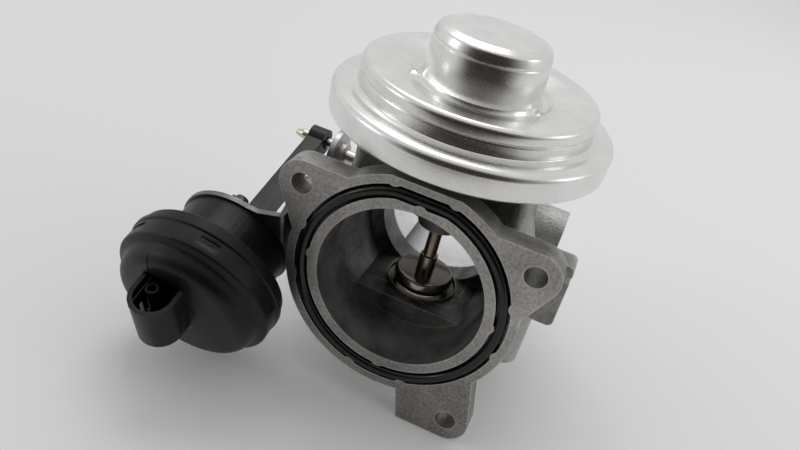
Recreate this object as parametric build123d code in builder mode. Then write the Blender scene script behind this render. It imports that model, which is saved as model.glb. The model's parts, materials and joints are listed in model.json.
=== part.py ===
from build123d import *
import math
import os

os.makedirs("parts", exist_ok=True)

# Vacuum exhaust gas recirculation valve with an intake shut-off flap.
# Frame: origin on the axis of the main bore, in the flange face. +X along the
# flap shaft, +Y into the bore, +Z along the valve stem towards its vacuum can.
# All sizes are in millimetres.

# ---------------------------------------------------------------- main duct
BORE_R = 28.0
BORE_LEN = 48.0
THROAT_R = 23.0
THROAT_LEN = 10.0
FLAP_BORE_R = 24.6
BARREL_WALL = 6.0
REAR_WALL = 6.4
REAR_LEN = 26.0
SPIGOT_WALL = 3.6
SPIGOT_LEN = 17.0
SPIGOT_BEAD = 1.3
BEAD_W = 2.4
EDGE_BREAK = 0.8

# ---------------------------------------------------------------- front flange
FLANGE_T = 8.0
FLANGE_R = 39.0
LOBE_X = 38.0
LOBE_Z = 23.2
LOBE_R = 7.8
FOOT_X = 27.8
FOOT_Z = -42.1
FOOT_HEEL_X = 11.4
BOLT_HOLE_R = 3.6
LOBE_ROOT = 16.0
LOBE_SKIRT = 17.0
GROOVE_IN_R = 31.4
GROOVE_OUT_R = 36.1
GROOVE_D = 3.4
NUB_R = 2.6
NUB_BITE = 0.8
TRACK_FLAT_Z = 35.0
NUB_GROUPS = 4
NUB_SPREAD = 15.0
SEAL_GAP = 0.15
SEAL_PROUD = 0.9

# ---------------------------------------------------------------- right-hand lug
LUG_X0 = 30.0
LUG_X1 = 47.7
LUG_T = 7.0
LUG_Z0 = 4.3
LUG_Z1 = 26.6
LUG_ROUND = 2.0
LUG_NOTCH = 2.4

# ---------------------------------------------------------------- valve and its port
STEM_Y = 38.5
STEM_R = 3.0
STEM_NECK_R = 2.4
STEM_STEP_Z = -8.0
GUIDE_CLEAR = 0.05
GUIDE_WALL = 2.0
GUIDE_BOSS_R = 7.6
GUIDE_BOSS_DRAFT = 9.0
GUIDE_BOSS_Z = 5.5
GUIDE_TOP_Z = 33.0
WIPER_T = 3.4
WIPER_R = 6.0
DISC_R = 10.3
DISC_TOP_Z = -16.4
DISC_RIM = 2.6
DISC_CONE = 2.6
DISC_CONE_R = 8.3
SEAT_GAP = 0.3
SEAT_R = 13.2
SEAT_TOP_Z = -18.8
SEAT_CUP_R = 12.5
SEAT_CUP_D = 2.4
SEAT_BORE_R = 8.6
SEAT_BOTTOM_Z = -27.0
PAD_Y = 22.3
PAD_Z = -20.0
PORT_FACE_Z = -36.0
PORT_FLANGE_T = 8.0
PORT_R = 17.0
PORT_BORE_R = 10.5
PORT_LUG_X = 36.0
PORT_LUG_R = 6.2
PORT_LUG_TOP_Z = -13.0
PORT_THREAD_R = 3.4
PORT_THREAD_D = 16.0

# ---------------------------------------------------------------- pedestal
PED_HALF_X = 28.5
PED_Y0 = 13.0
PED_TOP_Z = 37.4
PED_ROUND = 4.0
GASKET_T = 0.8
GASKET_MARGIN = 1.5
CAN_SCREW_R = 2.5
CAN_SCREW_HEAD_R = 4.2
CAN_SCREW_HEAD_H = 2.6
CAN_SCREW_SPREAD = 19.0
CAN_SCREW_LEN = 12.0
SCREW_CLEAR = 0.1

# ---------------------------------------------------------------- vacuum can
CAN_T = 1.0
BASE_T = 1.2
BASE_FLAT_R = 31.0
BASE_HOLE_R = 7.0
SKIRT_Z = 42.8
CRIMP_T = 1.0
RING_Z = 51.4
STEP_R = 38.5
CREST_OUT = 8.0
SKIRT_TUCK = 0.4
CRIMP_TUCK = 2.7
BEAD_TUCK = 2.6
SHELF_W = 12.7
STEP_BASE_Z = 52.4
PLATE_Z = 61.0
WELL_Z = 57.2
WELL_R = 21.0
CAP_R = 19.3
CAP_SHOULDER_Z = 71.6
CAP_TOP_R = 15.4
CAP_TOP_Z = 75.8
DIA_T = 1.0
DIA_WEB_Z = 46.0
PLATE_DISC_R = 29.0
PLATE_DISC_T = 1.2
PLATE_LIP = 2.2
NUT_R = 4.4
NUT_H = 2.4
SPRING_R = 13.6
SPRING_WIRE_R = 1.1
SPRING_TURNS = 4.0
CAN_NIPPLE_Z = 55.9
CAN_NIPPLE_R = 2.1
CAN_NIPPLE_BORE_R = 1.3
CAN_NIPPLE_REACH = 12.5
CAN_NIPPLE_BARB = 0.45
CAN_NIPPLE_COLLAR_R = 3.1

# ---------------------------------------------------------------- flap and shaft
FLAP_Y = 70.0
FLAP_R = 24.0
FLAP_T = 2.0
SHAFT_R = 2.9
SHAFT_SLOT_GAP = 0.02
SHAFT_LEFT_X = -54.8
SHAFT_RIGHT_X = 35.0
BUSH_WALL = 1.8
SHAFT_CLEAR = 0.05
LEFT_BOSS_R = 9.0
LEFT_BOSS_X = -43.5
RIGHT_BOSS_R = 11.0
RIGHT_BOSS_X = 41.2
SHAFT_SEAL_T = 3.0
CAP_PLUG_T = 3.2
CAP_PLUG_R = 7.5
FLAP_SCREW_R = 1.6
FLAP_SCREW_HEAD_R = 3.0
FLAP_SCREW_HEAD_H = 1.4
FLAP_SCREW_PITCH = 20.0

# ---------------------------------------------------------------- crank and pin
CRANK_X = -52.0
CRANK_T = 2.5
CRANK_DISC_R = 9.5
CRANK_HUB_R = 5.2
CRANK_HUB_T = 2.4
CRANK_R = 5.0
CRANK_REST_DEG = 124.0
PIN_R = 2.05
PIN_LEN = 16.5
PIN_NOSE = 3.2
PIN_NOSE_DRAFT = 17.0

# ---------------------------------------------------------------- drive rod
ROD_X = -61.0
ROD_T = 6.8
ROD_W = 7.4
EYE_R = 5.2
EYE_CLEAR = 0.65
ROD_BALL_R = 3.2
ROD_NECK_R = 2.2
EYE_OFFSET_Y = -0.52
EYE_OFFSET_Z = 0.12

# ---------------------------------------------------------------- flap actuator
ACT_X = -61.5
ACT_Y = -9.0
ACT_Z = -18.3
ACT_TILT = 20.0
REAR_R = 19.5
REAR_S = -17.7
NECK_S = -6.0
COLLAR_R = 26.9
COLLAR_S = -3.2
SHELL_T = 1.8
RING_R = 27.5
RING_S = 8.2
LIP_R = 28.0
LIP_S = 1.4
DOME_SHELF_R = 24.9
DOME_SHELF_S = 9.4
DOME_BULGE_R = 23.3
DOME_S = 16.6
DOME_FLAT_R = 10.0
SNAP_COUNT = 6
SNAP_W = 7.0
SNAP_H = 2.2
ROD_PORT_R = 8.6
PISTON_R = 13.5
PISTON_S = -8.0
PISTON_T = 2.0
ACT_DIA_T = 0.9
ACT_SPRING_R = 9.5
ACT_SPRING_WIRE_R = 0.8
ACT_SPRING_TURNS = 4.0
SOCKET_R = 5.2
SOCKET_LEN = 5.0
BALL_CLEAR = 0.3

# nipple and its shroud on the front cover
SHROUD_X = -3.4
SHROUD_S = 21.0
SHROUD_W = 15.0
SHROUD_TOP_V = 14.0
SHROUD_BOTTOM_V = -4.0
SHROUD_WALL = 1.5
SHROUD_SLOT_W = 1.4
SHROUD_SLOT_H = 8.0
NIP_X = -5.9
NIP_R = 2.3
NIP_BORE_R = 1.2
NIP_TOP_V = 12.6
NIP_BASE_V = 2.0

# ---------------------------------------------------------------- bracket
BR_T = 1.8
BR_REACH_R = 20.4
BR_ARM_TOP_V = 20.0
BR_ARM_LOW_V = -6.0
BR_SIDE_GAP = 3.0
BR_SIDE_TOP_V = 22.0
BR_SIDE_LOW_V = -1.0
BR_STUD_BACK = 14.5
BR_STUD_LOW_V = 4.0
BR_STUD_HIGH_V = 19.0
BR_BOSS_R = 6.0
BR_BOSS_X1 = -24.0
BR_BOLT_R = 2.9
BR_BOLT_HEAD_R = 5.0
BR_BOLT_HEAD_H = 3.4
BR_BOLT_LEN = 10.0
ACT_STUD_U = 13.6
ACT_STUD_R = 2.4
ACT_STUD_LEN = 5.0
ACT_NUT_R = 4.2
ACT_NUT_H = 3.0

# ---------------------------------------------------------------- derived places
BARREL_R = BORE_R + BARREL_WALL
TRACK_CORE_Z = TRACK_FLAT_Z - GROOVE_OUT_R + GROOVE_IN_R
BR_SIDE_X = -FLANGE_R - BR_SIDE_GAP
THROAT_Y = BORE_LEN
REAR_Y = BORE_LEN + THROAT_LEN
SPIGOT_Y = REAR_Y + REAR_LEN
END_Y = SPIGOT_Y + SPIGOT_LEN
REAR_OUT_R = FLAP_BORE_R + REAR_WALL
SPIGOT_R = FLAP_BORE_R + SPIGOT_WALL
PED_Y1 = 2 * STEM_Y - PED_Y0
CAN_AXIS = Axis((0, STEM_Y, 0), (0, 0, 1))
STEM_SIDE = Plane.XZ.offset(-STEM_Y)
BASE_Z = PED_TOP_Z + GASKET_T
CRIMP_TOP_Z = SKIRT_Z + CRIMP_T
CREST_R = STEP_R + CREST_OUT
SKIRT_R = CREST_R - SKIRT_TUCK
CRIMP_R = SKIRT_R - CRIMP_TUCK
RIM_BEAD_R = SKIRT_R - BEAD_TUCK
WELL_EDGE_R = STEP_R - SHELF_W
FLANGE_PLANE = Plane.XZ
BARREL_AXIS = Axis((0, 0, 0), (0, 1, 0))
SEAT_CONE_TOP_Z = SEAT_TOP_Z - SEAT_CUP_D
PLATE_LOW_Z = DIA_WEB_Z - PLATE_DISC_T
PLATE_HIGH_Z = DIA_WEB_Z + DIA_T
NUT_Z = PLATE_HIGH_Z + PLATE_DISC_T
SPRING_TOP_Z = CAP_TOP_Z - CAN_T

tilt = math.radians(ACT_TILT)
ACT_DIR = Vector(0, -math.cos(tilt), -math.sin(tilt))
ACT_UP = Vector(0, -math.sin(tilt), math.cos(tilt))
ACT_O = Vector(ACT_X, ACT_Y, ACT_Z)
ACT_AXIS = Axis(ACT_O, ACT_DIR)
# profile plane of the actuator: local x is the radius, local y runs along the axis
ACT_PROFILE = Plane(origin=ACT_O, x_dir=(1, 0, 0), z_dir=Vector(1, 0, 0).cross(ACT_DIR))


def act_plane(s):
    """Plane across the actuator axis at distance s, its normal along the axis."""
    return Plane(origin=ACT_O + ACT_DIR * s, x_dir=(-1, 0, 0), z_dir=ACT_DIR)


def act_up_plane(v):
    """Plane square to the nipple direction at height v: local x is -X, local y is the axis."""
    return Plane(origin=ACT_O + ACT_UP * v, x_dir=(-1, 0, 0), z_dir=ACT_UP)


def x_plane(x):
    """Plane across the flap shaft at x, local x along +Y, local y along +Z."""
    return Plane(origin=(x, 0, 0), x_dir=(0, 1, 0), z_dir=(1, 0, 0))


def z_plane(z):
    """Horizontal plane at height z, centred on the stem."""
    return Plane(origin=(0, STEM_Y, z), x_dir=(1, 0, 0), z_dir=(0, 0, 1))


def seal_track(gap):
    """Track of the face seal, smaller by the gap all round; its walls have retaining nubs."""
    Circle(GROOVE_OUT_R - gap)
    # the track is flat under the vacuum can
    with Locations((0, TRACK_FLAT_Z - gap)):
        Rectangle(2 * GROOVE_OUT_R, GROOVE_OUT_R, align=(Align.CENTER, Align.MIN), mode=Mode.SUBTRACT)
    with BuildSketch(mode=Mode.PRIVATE) as core:
        Circle(GROOVE_IN_R + gap)
        with Locations((0, TRACK_CORE_Z + gap)):
            Rectangle(2 * GROOVE_OUT_R, GROOVE_OUT_R, align=(Align.CENTER, Align.MIN), mode=Mode.SUBTRACT)
    add(core.sketch, mode=Mode.SUBTRACT)
    for lean in (-NUB_SPREAD, NUB_SPREAD):
        with PolarLocations(GROOVE_OUT_R + NUB_R - NUB_BITE, NUB_GROUPS, start_angle=lean):
            Circle(NUB_R + gap, mode=Mode.SUBTRACT)
    with PolarLocations(GROOVE_IN_R - NUB_R + NUB_BITE, 2):
        Circle(NUB_R + gap, mode=Mode.SUBTRACT)
    with Locations((0, TRACK_CORE_Z - NUB_R + NUB_BITE), (0, -GROOVE_IN_R + NUB_R - NUB_BITE)):
        Circle(NUB_R + gap, mode=Mode.SUBTRACT)


rest = math.radians(CRANK_REST_DEG)
PIN_Y = FLAP_Y + CRANK_R * math.cos(rest)
PIN_Z = CRANK_R * math.sin(rest)

# ================================================================ housing
with BuildPart() as housing:
    with BuildSketch(FLANGE_PLANE):
        Circle(FLANGE_R)
        for side in (-1, 1):
            with BuildSketch(mode=Mode.PRIVATE) as lobe:
                with Locations((side * LOBE_X, LOBE_Z), (side * (LOBE_X - LOBE_ROOT), LOBE_Z)):
                    Circle(LOBE_R)
                with Locations((side * (LOBE_X - FLANGE_T + SPIGOT_WALL / 2), LOBE_Z - LOBE_SKIRT)):
                    Circle(LOBE_R * 0.75)
            make_hull(lobe.sketch.edges())
        with BuildSketch(mode=Mode.PRIVATE) as foot:
            with Locations((FOOT_X, FOOT_Z)):
                Circle(LOBE_R)
            with Locations((FOOT_HEEL_X, FOOT_Z - LOBE_R)):
                Rectangle(EDGE_BREAK, EDGE_BREAK, align=(Align.MIN, Align.MIN))
            with Locations((FLANGE_R * 0.62, -FLANGE_R * 0.62)):
                Circle(LOBE_R)
            with Locations((LOBE_R + EDGE_BREAK, FOOT_Z + LOBE_R)):
                Circle(EDGE_BREAK)
        make_hull(foot.sketch.edges())
        # flat along the top, clear of the vacuum can
        with Locations((0, PED_TOP_Z)):
            Rectangle(2 * FLANGE_R, FLANGE_R, align=(Align.CENTER, Align.MIN), mode=Mode.SUBTRACT)
    extrude(amount=-FLANGE_T)

    # barrel, rear barrel and hose spigot as one turned outline
    with BuildSketch(Plane.XY):
        with BuildLine():
            Polyline(
                (0, FLANGE_T / 2),
                (BARREL_R, FLANGE_T / 2),
                (BARREL_R, THROAT_Y - EDGE_BREAK),
                (REAR_OUT_R, THROAT_Y + BARREL_WALL),
                (REAR_OUT_R, SPIGOT_Y - EDGE_BREAK),
                (SPIGOT_R, SPIGOT_Y + EDGE_BREAK),
                (SPIGOT_R, END_Y - 2 * BEAD_W),
                (SPIGOT_R + SPIGOT_BEAD, END_Y - 1.5 * BEAD_W),
                (SPIGOT_R + SPIGOT_BEAD, END_Y - BEAD_W),
                (SPIGOT_R - EDGE_BREAK, END_Y),
                (0, END_Y),
                close=True,
            )
        make_face()
    revolve(axis=BARREL_AXIS)

    # pedestal that carries the vacuum can
    with BuildSketch(z_plane(0)):
        RectangleRounded(2 * PED_HALF_X, PED_Y1 - PED_Y0, PED_ROUND)
    extrude(amount=PED_TOP_Z)

    # lug behind the right-hand bolt hole
    with BuildSketch(Plane.XZ.offset(-FLANGE_T + EDGE_BREAK)):
        with Locations(((LUG_X0 + LUG_X1) / 2, (LUG_Z0 + LUG_Z1) / 2)):
            RectangleRounded(LUG_X1 - LUG_X0, LUG_Z1 - LUG_Z0, LUG_ROUND)
        with Locations((LUG_X1, LUG_Z1 - 2 * LUG_NOTCH)):
            Rectangle(LUG_NOTCH, LUG_NOTCH, mode=Mode.SUBTRACT)
    extrude(amount=-LUG_T - EDGE_BREAK)

    # exhaust port below the valve: round body, two-lug flange
    with BuildSketch(z_plane(PORT_FACE_Z)):
        Circle(PORT_R)
    extrude(amount=-PORT_FACE_Z + SEAT_TOP_Z + BARREL_WALL)
    with BuildSketch(z_plane(PORT_FACE_Z)):
        with BuildSketch(mode=Mode.PRIVATE) as port:
            Circle(PORT_R)
            with Locations((-PORT_LUG_X, 0), (PORT_LUG_X, 0)):
                Circle(PORT_LUG_R)
        make_hull(port.sketch.edges())
    extrude(amount=PORT_FLANGE_T)
    with BuildSketch(z_plane(PORT_FACE_Z)):
        with Locations((-PORT_LUG_X, 0), (PORT_LUG_X, 0)):
            Circle(PORT_LUG_R)
    extrude(amount=PORT_LUG_TOP_Z - PORT_FACE_Z)

    # shaft bosses on both sides of the flap bore
    with BuildSketch(x_plane(LEFT_BOSS_X)):
        with Locations((FLAP_Y, 0)):
            Circle(LEFT_BOSS_R)
    extrude(amount=-LEFT_BOSS_X)
    with BuildSketch(x_plane(0)):
        with Locations((FLAP_Y, 0)):
            Circle(RIGHT_BOSS_R)
    extrude(amount=RIGHT_BOSS_X)

    # bosses that take the actuator bracket
    with BuildSketch(Plane(origin=ACT_O + ACT_DIR * (REAR_S - BR_STUD_BACK) - Vector(ACT_X - BR_SIDE_X, 0, 0),
                           x_dir=-ACT_DIR, z_dir=(1, 0, 0))):
        with Locations((0, BR_STUD_LOW_V), (0, BR_STUD_HIGH_V)):
            Circle(BR_BOSS_R)
    extrude(amount=BR_BOSS_X1 - BR_SIDE_X)

    # hollow of the duct
    with BuildSketch(Plane.XY):
        with BuildLine():
            Polyline(
                (0, -FLANGE_T),
                (BORE_R, -FLANGE_T),
                (BORE_R, THROAT_Y),
                (THROAT_R, THROAT_Y),
                (THROAT_R, REAR_Y),
                (FLAP_BORE_R, REAR_Y + EDGE_BREAK),
                (FLAP_BORE_R, END_Y + FLANGE_T),
                (0, END_Y + FLANGE_T),
                close=True,
            )
        make_face()
    revolve(axis=BARREL_AXIS, mode=Mode.SUBTRACT)

    # planed pad round the valve seat and the stem guide boss, inside the bore
    with BuildSketch(Plane.XZ.offset(-PAD_Y)):
        Circle(BORE_R + EDGE_BREAK)
        with Locations((0, PAD_Z)):
            Rectangle(2 * BARREL_R, 2 * BARREL_R, align=(Align.CENTER, Align.MIN), mode=Mode.SUBTRACT)
    extrude(amount=PAD_Y - THROAT_Y - EDGE_BREAK)
    with BuildSketch(z_plane(GUIDE_BOSS_Z)):
        Circle(GUIDE_BOSS_R)
    extrude(amount=BORE_R - GUIDE_BOSS_Z, taper=-GUIDE_BOSS_DRAFT)
    with BuildSketch(z_plane(SEAT_BOTTOM_Z)):
        Circle(SEAT_R)
    extrude(amount=SEAT_TOP_Z - SEAT_BOTTOM_Z, mode=Mode.SUBTRACT)
    with BuildSketch(z_plane(PORT_FACE_Z)):
        Circle(PORT_BORE_R)
    extrude(amount=SEAT_BOTTOM_Z - PORT_FACE_Z, mode=Mode.SUBTRACT)
    with BuildSketch(z_plane(PORT_FACE_Z)):
        with Locations((-PORT_LUG_X, 0), (PORT_LUG_X, 0)):
            Circle(PORT_THREAD_R)
    extrude(amount=PORT_THREAD_D, mode=Mode.SUBTRACT)

    # stem guide bore, wiper pocket and can screw holes
    with BuildSketch(z_plane(0)):
        Circle(STEM_NECK_R + GUIDE_CLEAR + GUIDE_WALL)
    extrude(amount=PED_TOP_Z, mode=Mode.SUBTRACT)
    with BuildSketch(z_plane(GUIDE_TOP_Z)):
        Circle(WIPER_R)
    extrude(amount=PED_TOP_Z - GUIDE_TOP_Z, mode=Mode.SUBTRACT)
    with BuildSketch(z_plane(PED_TOP_Z)):
        with GridLocations(2 * CAN_SCREW_SPREAD, 2 * CAN_SCREW_SPREAD, 2, 2):
            Circle(CAN_SCREW_R)
    extrude(amount=-CAN_SCREW_LEN, mode=Mode.SUBTRACT)

    # groove of the face seal with its retaining pockets, and the three bolt holes
    with BuildSketch(FLANGE_PLANE):
        seal_track(0)
    extrude(amount=-GROOVE_D, mode=Mode.SUBTRACT)
    with BuildSketch(FLANGE_PLANE):
        with Locations((-LOBE_X, LOBE_Z), (LOBE_X, LOBE_Z), (FOOT_X, FOOT_Z)):
            Circle(BOLT_HOLE_R)
    extrude(amount=-FLANGE_T - LUG_T - EDGE_BREAK, mode=Mode.SUBTRACT)

    # shaft bore: bush and seal pocket on the left, bush and cap pocket on the right
    with BuildSketch(x_plane(LEFT_BOSS_X)):
        with Locations((FLAP_Y, 0)):
            Circle(SHAFT_R + SHAFT_CLEAR + BUSH_WALL)
    extrude(amount=RIGHT_BOSS_X - LEFT_BOSS_X - CAP_PLUG_T, mode=Mode.SUBTRACT)
    with BuildSketch(x_plane(RIGHT_BOSS_X - CAP_PLUG_T)):
        with Locations((FLAP_Y, 0)):
            Circle(CAP_PLUG_R)
    extrude(amount=CAP_PLUG_T, mode=Mode.SUBTRACT)

    # threaded holes for the bracket bolts
    with BuildSketch(Plane(origin=ACT_O + ACT_DIR * (REAR_S - BR_STUD_BACK) - Vector(ACT_X - BR_SIDE_X, 0, 0),
                           x_dir=-ACT_DIR, z_dir=(1, 0, 0))):
        with Locations((0, BR_STUD_LOW_V), (0, BR_STUD_HIGH_V)):
            Circle(BR_BOLT_R)
    extrude(amount=BR_BOLT_LEN, mode=Mode.SUBTRACT)
housing.part.label = "housing"
export_step(housing.part, "parts/housing.step")

# ================================================================ face seal
with BuildPart() as flange_seal:
    with BuildSketch(Plane.XZ.offset(SEAL_PROUD)):
        seal_track(SEAL_GAP)
    extrude(amount=-SEAL_PROUD - GROOVE_D)
flange_seal.part.label = "flange_seal"
export_step(flange_seal.part, "parts/flange_seal.step")

# ================================================================ valve seat, guide and wiper
with BuildPart() as valve_seat_ring:
    with BuildSketch(STEM_SIDE):
        with BuildLine():
            Polyline(
                (SEAT_BORE_R, SEAT_BOTTOM_Z),
                (SEAT_R, SEAT_BOTTOM_Z),
                (SEAT_R, SEAT_TOP_Z - EDGE_BREAK / 2),
                (SEAT_R - EDGE_BREAK / 2, SEAT_TOP_Z),
                (SEAT_CUP_R + EDGE_BREAK / 2, SEAT_TOP_Z),
                (SEAT_CUP_R, SEAT_TOP_Z - EDGE_BREAK / 2),
                (SEAT_CUP_R, SEAT_CONE_TOP_Z),
                (DISC_R, SEAT_CONE_TOP_Z),
                (SEAT_BORE_R, SEAT_CONE_TOP_Z - DISC_CONE),
                close=True,
            )
        make_face()
    revolve(axis=CAN_AXIS)
valve_seat_ring.part.label = "valve_seat_ring"
export_step(valve_seat_ring.part, "parts/valve_seat_ring.step")

with BuildPart() as stem_guide_bush:
    with BuildSketch(z_plane(GUIDE_BOSS_Z)):
        Circle(STEM_NECK_R + GUIDE_CLEAR + GUIDE_WALL)
        Circle(STEM_NECK_R + GUIDE_CLEAR, mode=Mode.SUBTRACT)
    extrude(amount=GUIDE_TOP_Z - GUIDE_BOSS_Z)
stem_guide_bush.part.label = "stem_guide_bush"
export_step(stem_guide_bush.part, "parts/stem_guide_bush.step")

with BuildPart() as stem_wiper:
    with BuildSketch(z_plane(GUIDE_TOP_Z)):
        Circle(WIPER_R)
        Circle(STEM_NECK_R + GUIDE_CLEAR, mode=Mode.SUBTRACT)
    extrude(amount=WIPER_T)
stem_wiper.part.label = "stem_wiper"
export_step(stem_wiper.part, "parts/stem_wiper.step")

# ================================================================ valve stem and disc
with BuildPart() as valve_stem:
    with BuildSketch(STEM_SIDE):
        with BuildLine():
            Polyline(
                (0, DISC_TOP_Z - DISC_RIM - DISC_CONE),
                (STEM_NECK_R, DISC_TOP_Z - DISC_RIM - DISC_CONE),
                (STEM_NECK_R, DISC_TOP_Z),
                (STEM_R, DISC_TOP_Z),
                (STEM_R, STEM_STEP_Z),
                (STEM_NECK_R, STEM_STEP_Z + EDGE_BREAK / 2),
                (STEM_NECK_R, NUT_Z + NUT_H),
                (0, NUT_Z + NUT_H),
                close=True,
            )
        make_face()
    revolve(axis=CAN_AXIS)
valve_stem.part.label = "valve_stem"
export_step(valve_stem.part, "parts/valve_stem.step")

with BuildPart() as valve_disc:
    with BuildSketch(STEM_SIDE):
        with BuildLine():
            Polyline(
                (STEM_NECK_R, DISC_TOP_Z),
                (DISC_R - EDGE_BREAK / 2, DISC_TOP_Z),
                (DISC_R, DISC_TOP_Z - EDGE_BREAK / 2),
                (DISC_R, DISC_TOP_Z - DISC_RIM),
                (DISC_CONE_R - SEAT_GAP, DISC_TOP_Z - DISC_RIM - DISC_CONE),
                (STEM_NECK_R, DISC_TOP_Z - DISC_RIM - DISC_CONE),
                close=True,
            )
        make_face()
    revolve(axis=CAN_AXIS)
valve_disc.part.label = "valve_disc"
export_step(valve_disc.part, "parts/valve_disc.step")

# ================================================================ can: gasket, lower shell, screws
with BuildPart() as can_gasket:
    with BuildSketch(z_plane(PED_TOP_Z)):
        RectangleRounded(2 * (PED_HALF_X - GASKET_MARGIN), PED_Y1 - PED_Y0 - 2 * GASKET_MARGIN,
                         PED_ROUND - GASKET_MARGIN)
        Circle(BASE_HOLE_R, mode=Mode.SUBTRACT)
        with GridLocations(2 * CAN_SCREW_SPREAD, 2 * CAN_SCREW_SPREAD, 2, 2):
            Circle(CAN_SCREW_R + SCREW_CLEAR, mode=Mode.SUBTRACT)
    extrude(amount=GASKET_T)
can_gasket.part.label = "can_gasket"
export_step(can_gasket.part, "parts/can_gasket.step")

with BuildPart() as can_lower_shell:
    with BuildSketch(STEM_SIDE):
        with BuildLine():
            Polyline(
                (BASE_HOLE_R, BASE_Z),
                (BASE_FLAT_R, BASE_Z),
                (CRIMP_R - 2 * BASE_T, SKIRT_Z - BASE_T),
                (CRIMP_R, SKIRT_Z),
                (CRIMP_R, CRIMP_TOP_Z),
                (SKIRT_R - CAN_T, CRIMP_TOP_Z),
                (SKIRT_R - CAN_T, CRIMP_TOP_Z + BASE_T),
                (CRIMP_R - BASE_T, CRIMP_TOP_Z + BASE_T),
                (CRIMP_R - BASE_T, SKIRT_Z + BASE_T / 2),
                (CRIMP_R - 2.7 * BASE_T, SKIRT_Z + BASE_T / 4),
                (BASE_FLAT_R, BASE_Z + BASE_T),
                (BASE_HOLE_R, BASE_Z + BASE_T),
                close=True,
            )
        make_face()
    revolve(axis=CAN_AXIS)
    with BuildSketch(z_plane(BASE_Z)):
        with GridLocations(2 * CAN_SCREW_SPREAD, 2 * CAN_SCREW_SPREAD, 2, 2):
            Circle(CAN_SCREW_R + SCREW_CLEAR)
    extrude(amount=BASE_T, mode=Mode.SUBTRACT)
can_lower_shell.part.label = "can_lower_shell"
export_step(can_lower_shell.part, "parts/can_lower_shell.step")

with BuildPart() as can_screws:
    with BuildSketch(z_plane(BASE_Z + BASE_T)):
        with GridLocations(2 * CAN_SCREW_SPREAD, 2 * CAN_SCREW_SPREAD, 2, 2):
            Circle(CAN_SCREW_HEAD_R)
    extrude(amount=CAN_SCREW_HEAD_H)
    with BuildSketch(z_plane(BASE_Z + BASE_T)):
        with GridLocations(2 * CAN_SCREW_SPREAD, 2 * CAN_SCREW_SPREAD, 2, 2):
            Circle(CAN_SCREW_R)
    extrude(amount=-CAN_SCREW_LEN + 2 * EDGE_BREAK)
    with BuildSketch(z_plane(BASE_Z + BASE_T + CAN_SCREW_HEAD_H)):
        with GridLocations(2 * CAN_SCREW_SPREAD, 2 * CAN_SCREW_SPREAD, 2, 2):
            RegularPolygon(CAN_SCREW_R, 6)
    extrude(amount=-CAN_SCREW_HEAD_H / 2, mode=Mode.SUBTRACT)
can_screws.part.label = "can_screws"
export_step(can_screws.part, "parts/can_screws.step")

# ================================================================ can: pressed upper shell
with BuildPart() as can_upper_shell:
    with BuildSketch(STEM_SIDE):
        with BuildLine():
            rim = FilletPolyline(
                (0, CAP_TOP_Z),
                (CAP_TOP_R, CAP_TOP_Z),
                ((CAP_TOP_R + CAP_R) / 2 + EDGE_BREAK / 2, CAP_TOP_Z - EDGE_BREAK),
                (CAP_R, CAP_SHOULDER_Z),
                (CAP_R, WELL_Z + 3 * CAN_T),
                (WELL_R, WELL_Z),
                (WELL_R + 1.5 * CAN_T, WELL_Z),
                (WELL_EDGE_R, PLATE_Z),
                (STEP_R, PLATE_Z),
                (STEP_R, STEP_BASE_Z),
                (STEP_R + 2 * CAN_T, STEP_BASE_Z - CAN_T / 2),
                (CREST_R, RING_Z),
                (SKIRT_R, SKIRT_Z),
                radius=[0.8, 1.6, 1.2, 1.5, 0.6, 0.6, 3.0, 3.2, 0.4, 0.7, 3.6],
            )
            Polyline((SKIRT_R, SKIRT_Z), (0, SKIRT_Z), (0, CAP_TOP_Z))
        make_face()
        offset(amount=-CAN_T, mode=Mode.SUBTRACT)
        with Locations((0, SKIRT_Z)):
            Rectangle(SKIRT_R - CAN_T, 2 * CAN_T, align=(Align.MIN, Align.MIN), mode=Mode.SUBTRACT)
            Rectangle(2 * CAN_T, CAP_TOP_Z - SKIRT_Z - CAN_T, align=(Align.MIN, Align.MIN),
                      mode=Mode.SUBTRACT)
        # edge rolled in under the lower shell
        with Locations((CRIMP_R + SEAL_GAP, SKIRT_Z)):
            Rectangle(SKIRT_R - CRIMP_R - CAN_T / 2, CRIMP_T, align=(Align.MIN, Align.MIN))
    revolve(axis=CAN_AXIS)
    with BuildSketch(Plane.XZ.offset(-STEM_Y - STEP_R - CAN_T)):
        with Locations((0, CAN_NIPPLE_Z)):
            Circle(CAN_NIPPLE_R)
    extrude(amount=3 * CAN_T, mode=Mode.SUBTRACT)
can_upper_shell.part.label = "can_upper_shell"
export_step(can_upper_shell.part, "parts/can_upper_shell.step")

with BuildPart() as can_nipple:
    with BuildSketch(Plane(origin=(0, 0, CAN_NIPPLE_Z), x_dir=(1, 0, 0), z_dir=(0, 0, 1))):
        with BuildLine():
            Polyline(
                (CAN_NIPPLE_BORE_R, STEM_Y + STEP_R - CAN_T - EDGE_BREAK),
                (CAN_NIPPLE_R, STEM_Y + STEP_R - CAN_T - EDGE_BREAK),
                (CAN_NIPPLE_R, STEM_Y + STEP_R),
                (CAN_NIPPLE_COLLAR_R, STEM_Y + STEP_R),
                (CAN_NIPPLE_COLLAR_R, STEM_Y + STEP_R + CAN_T),
                (CAN_NIPPLE_R, STEM_Y + STEP_R + CAN_T),
                (CAN_NIPPLE_R, STEM_Y + STEP_R + CAN_NIPPLE_REACH - 4 * EDGE_BREAK),
                (CAN_NIPPLE_R + CAN_NIPPLE_BARB, STEM_Y + STEP_R + CAN_NIPPLE_REACH - 3 * EDGE_BREAK),
                (CAN_NIPPLE_R - EDGE_BREAK / 2, STEM_Y + STEP_R + CAN_NIPPLE_REACH),
                (CAN_NIPPLE_BORE_R, STEM_Y + STEP_R + CAN_NIPPLE_REACH),
                close=True,
            )
        make_face()
    revolve(axis=Axis((0, 0, CAN_NIPPLE_Z), (0, 1, 0)))
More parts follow.
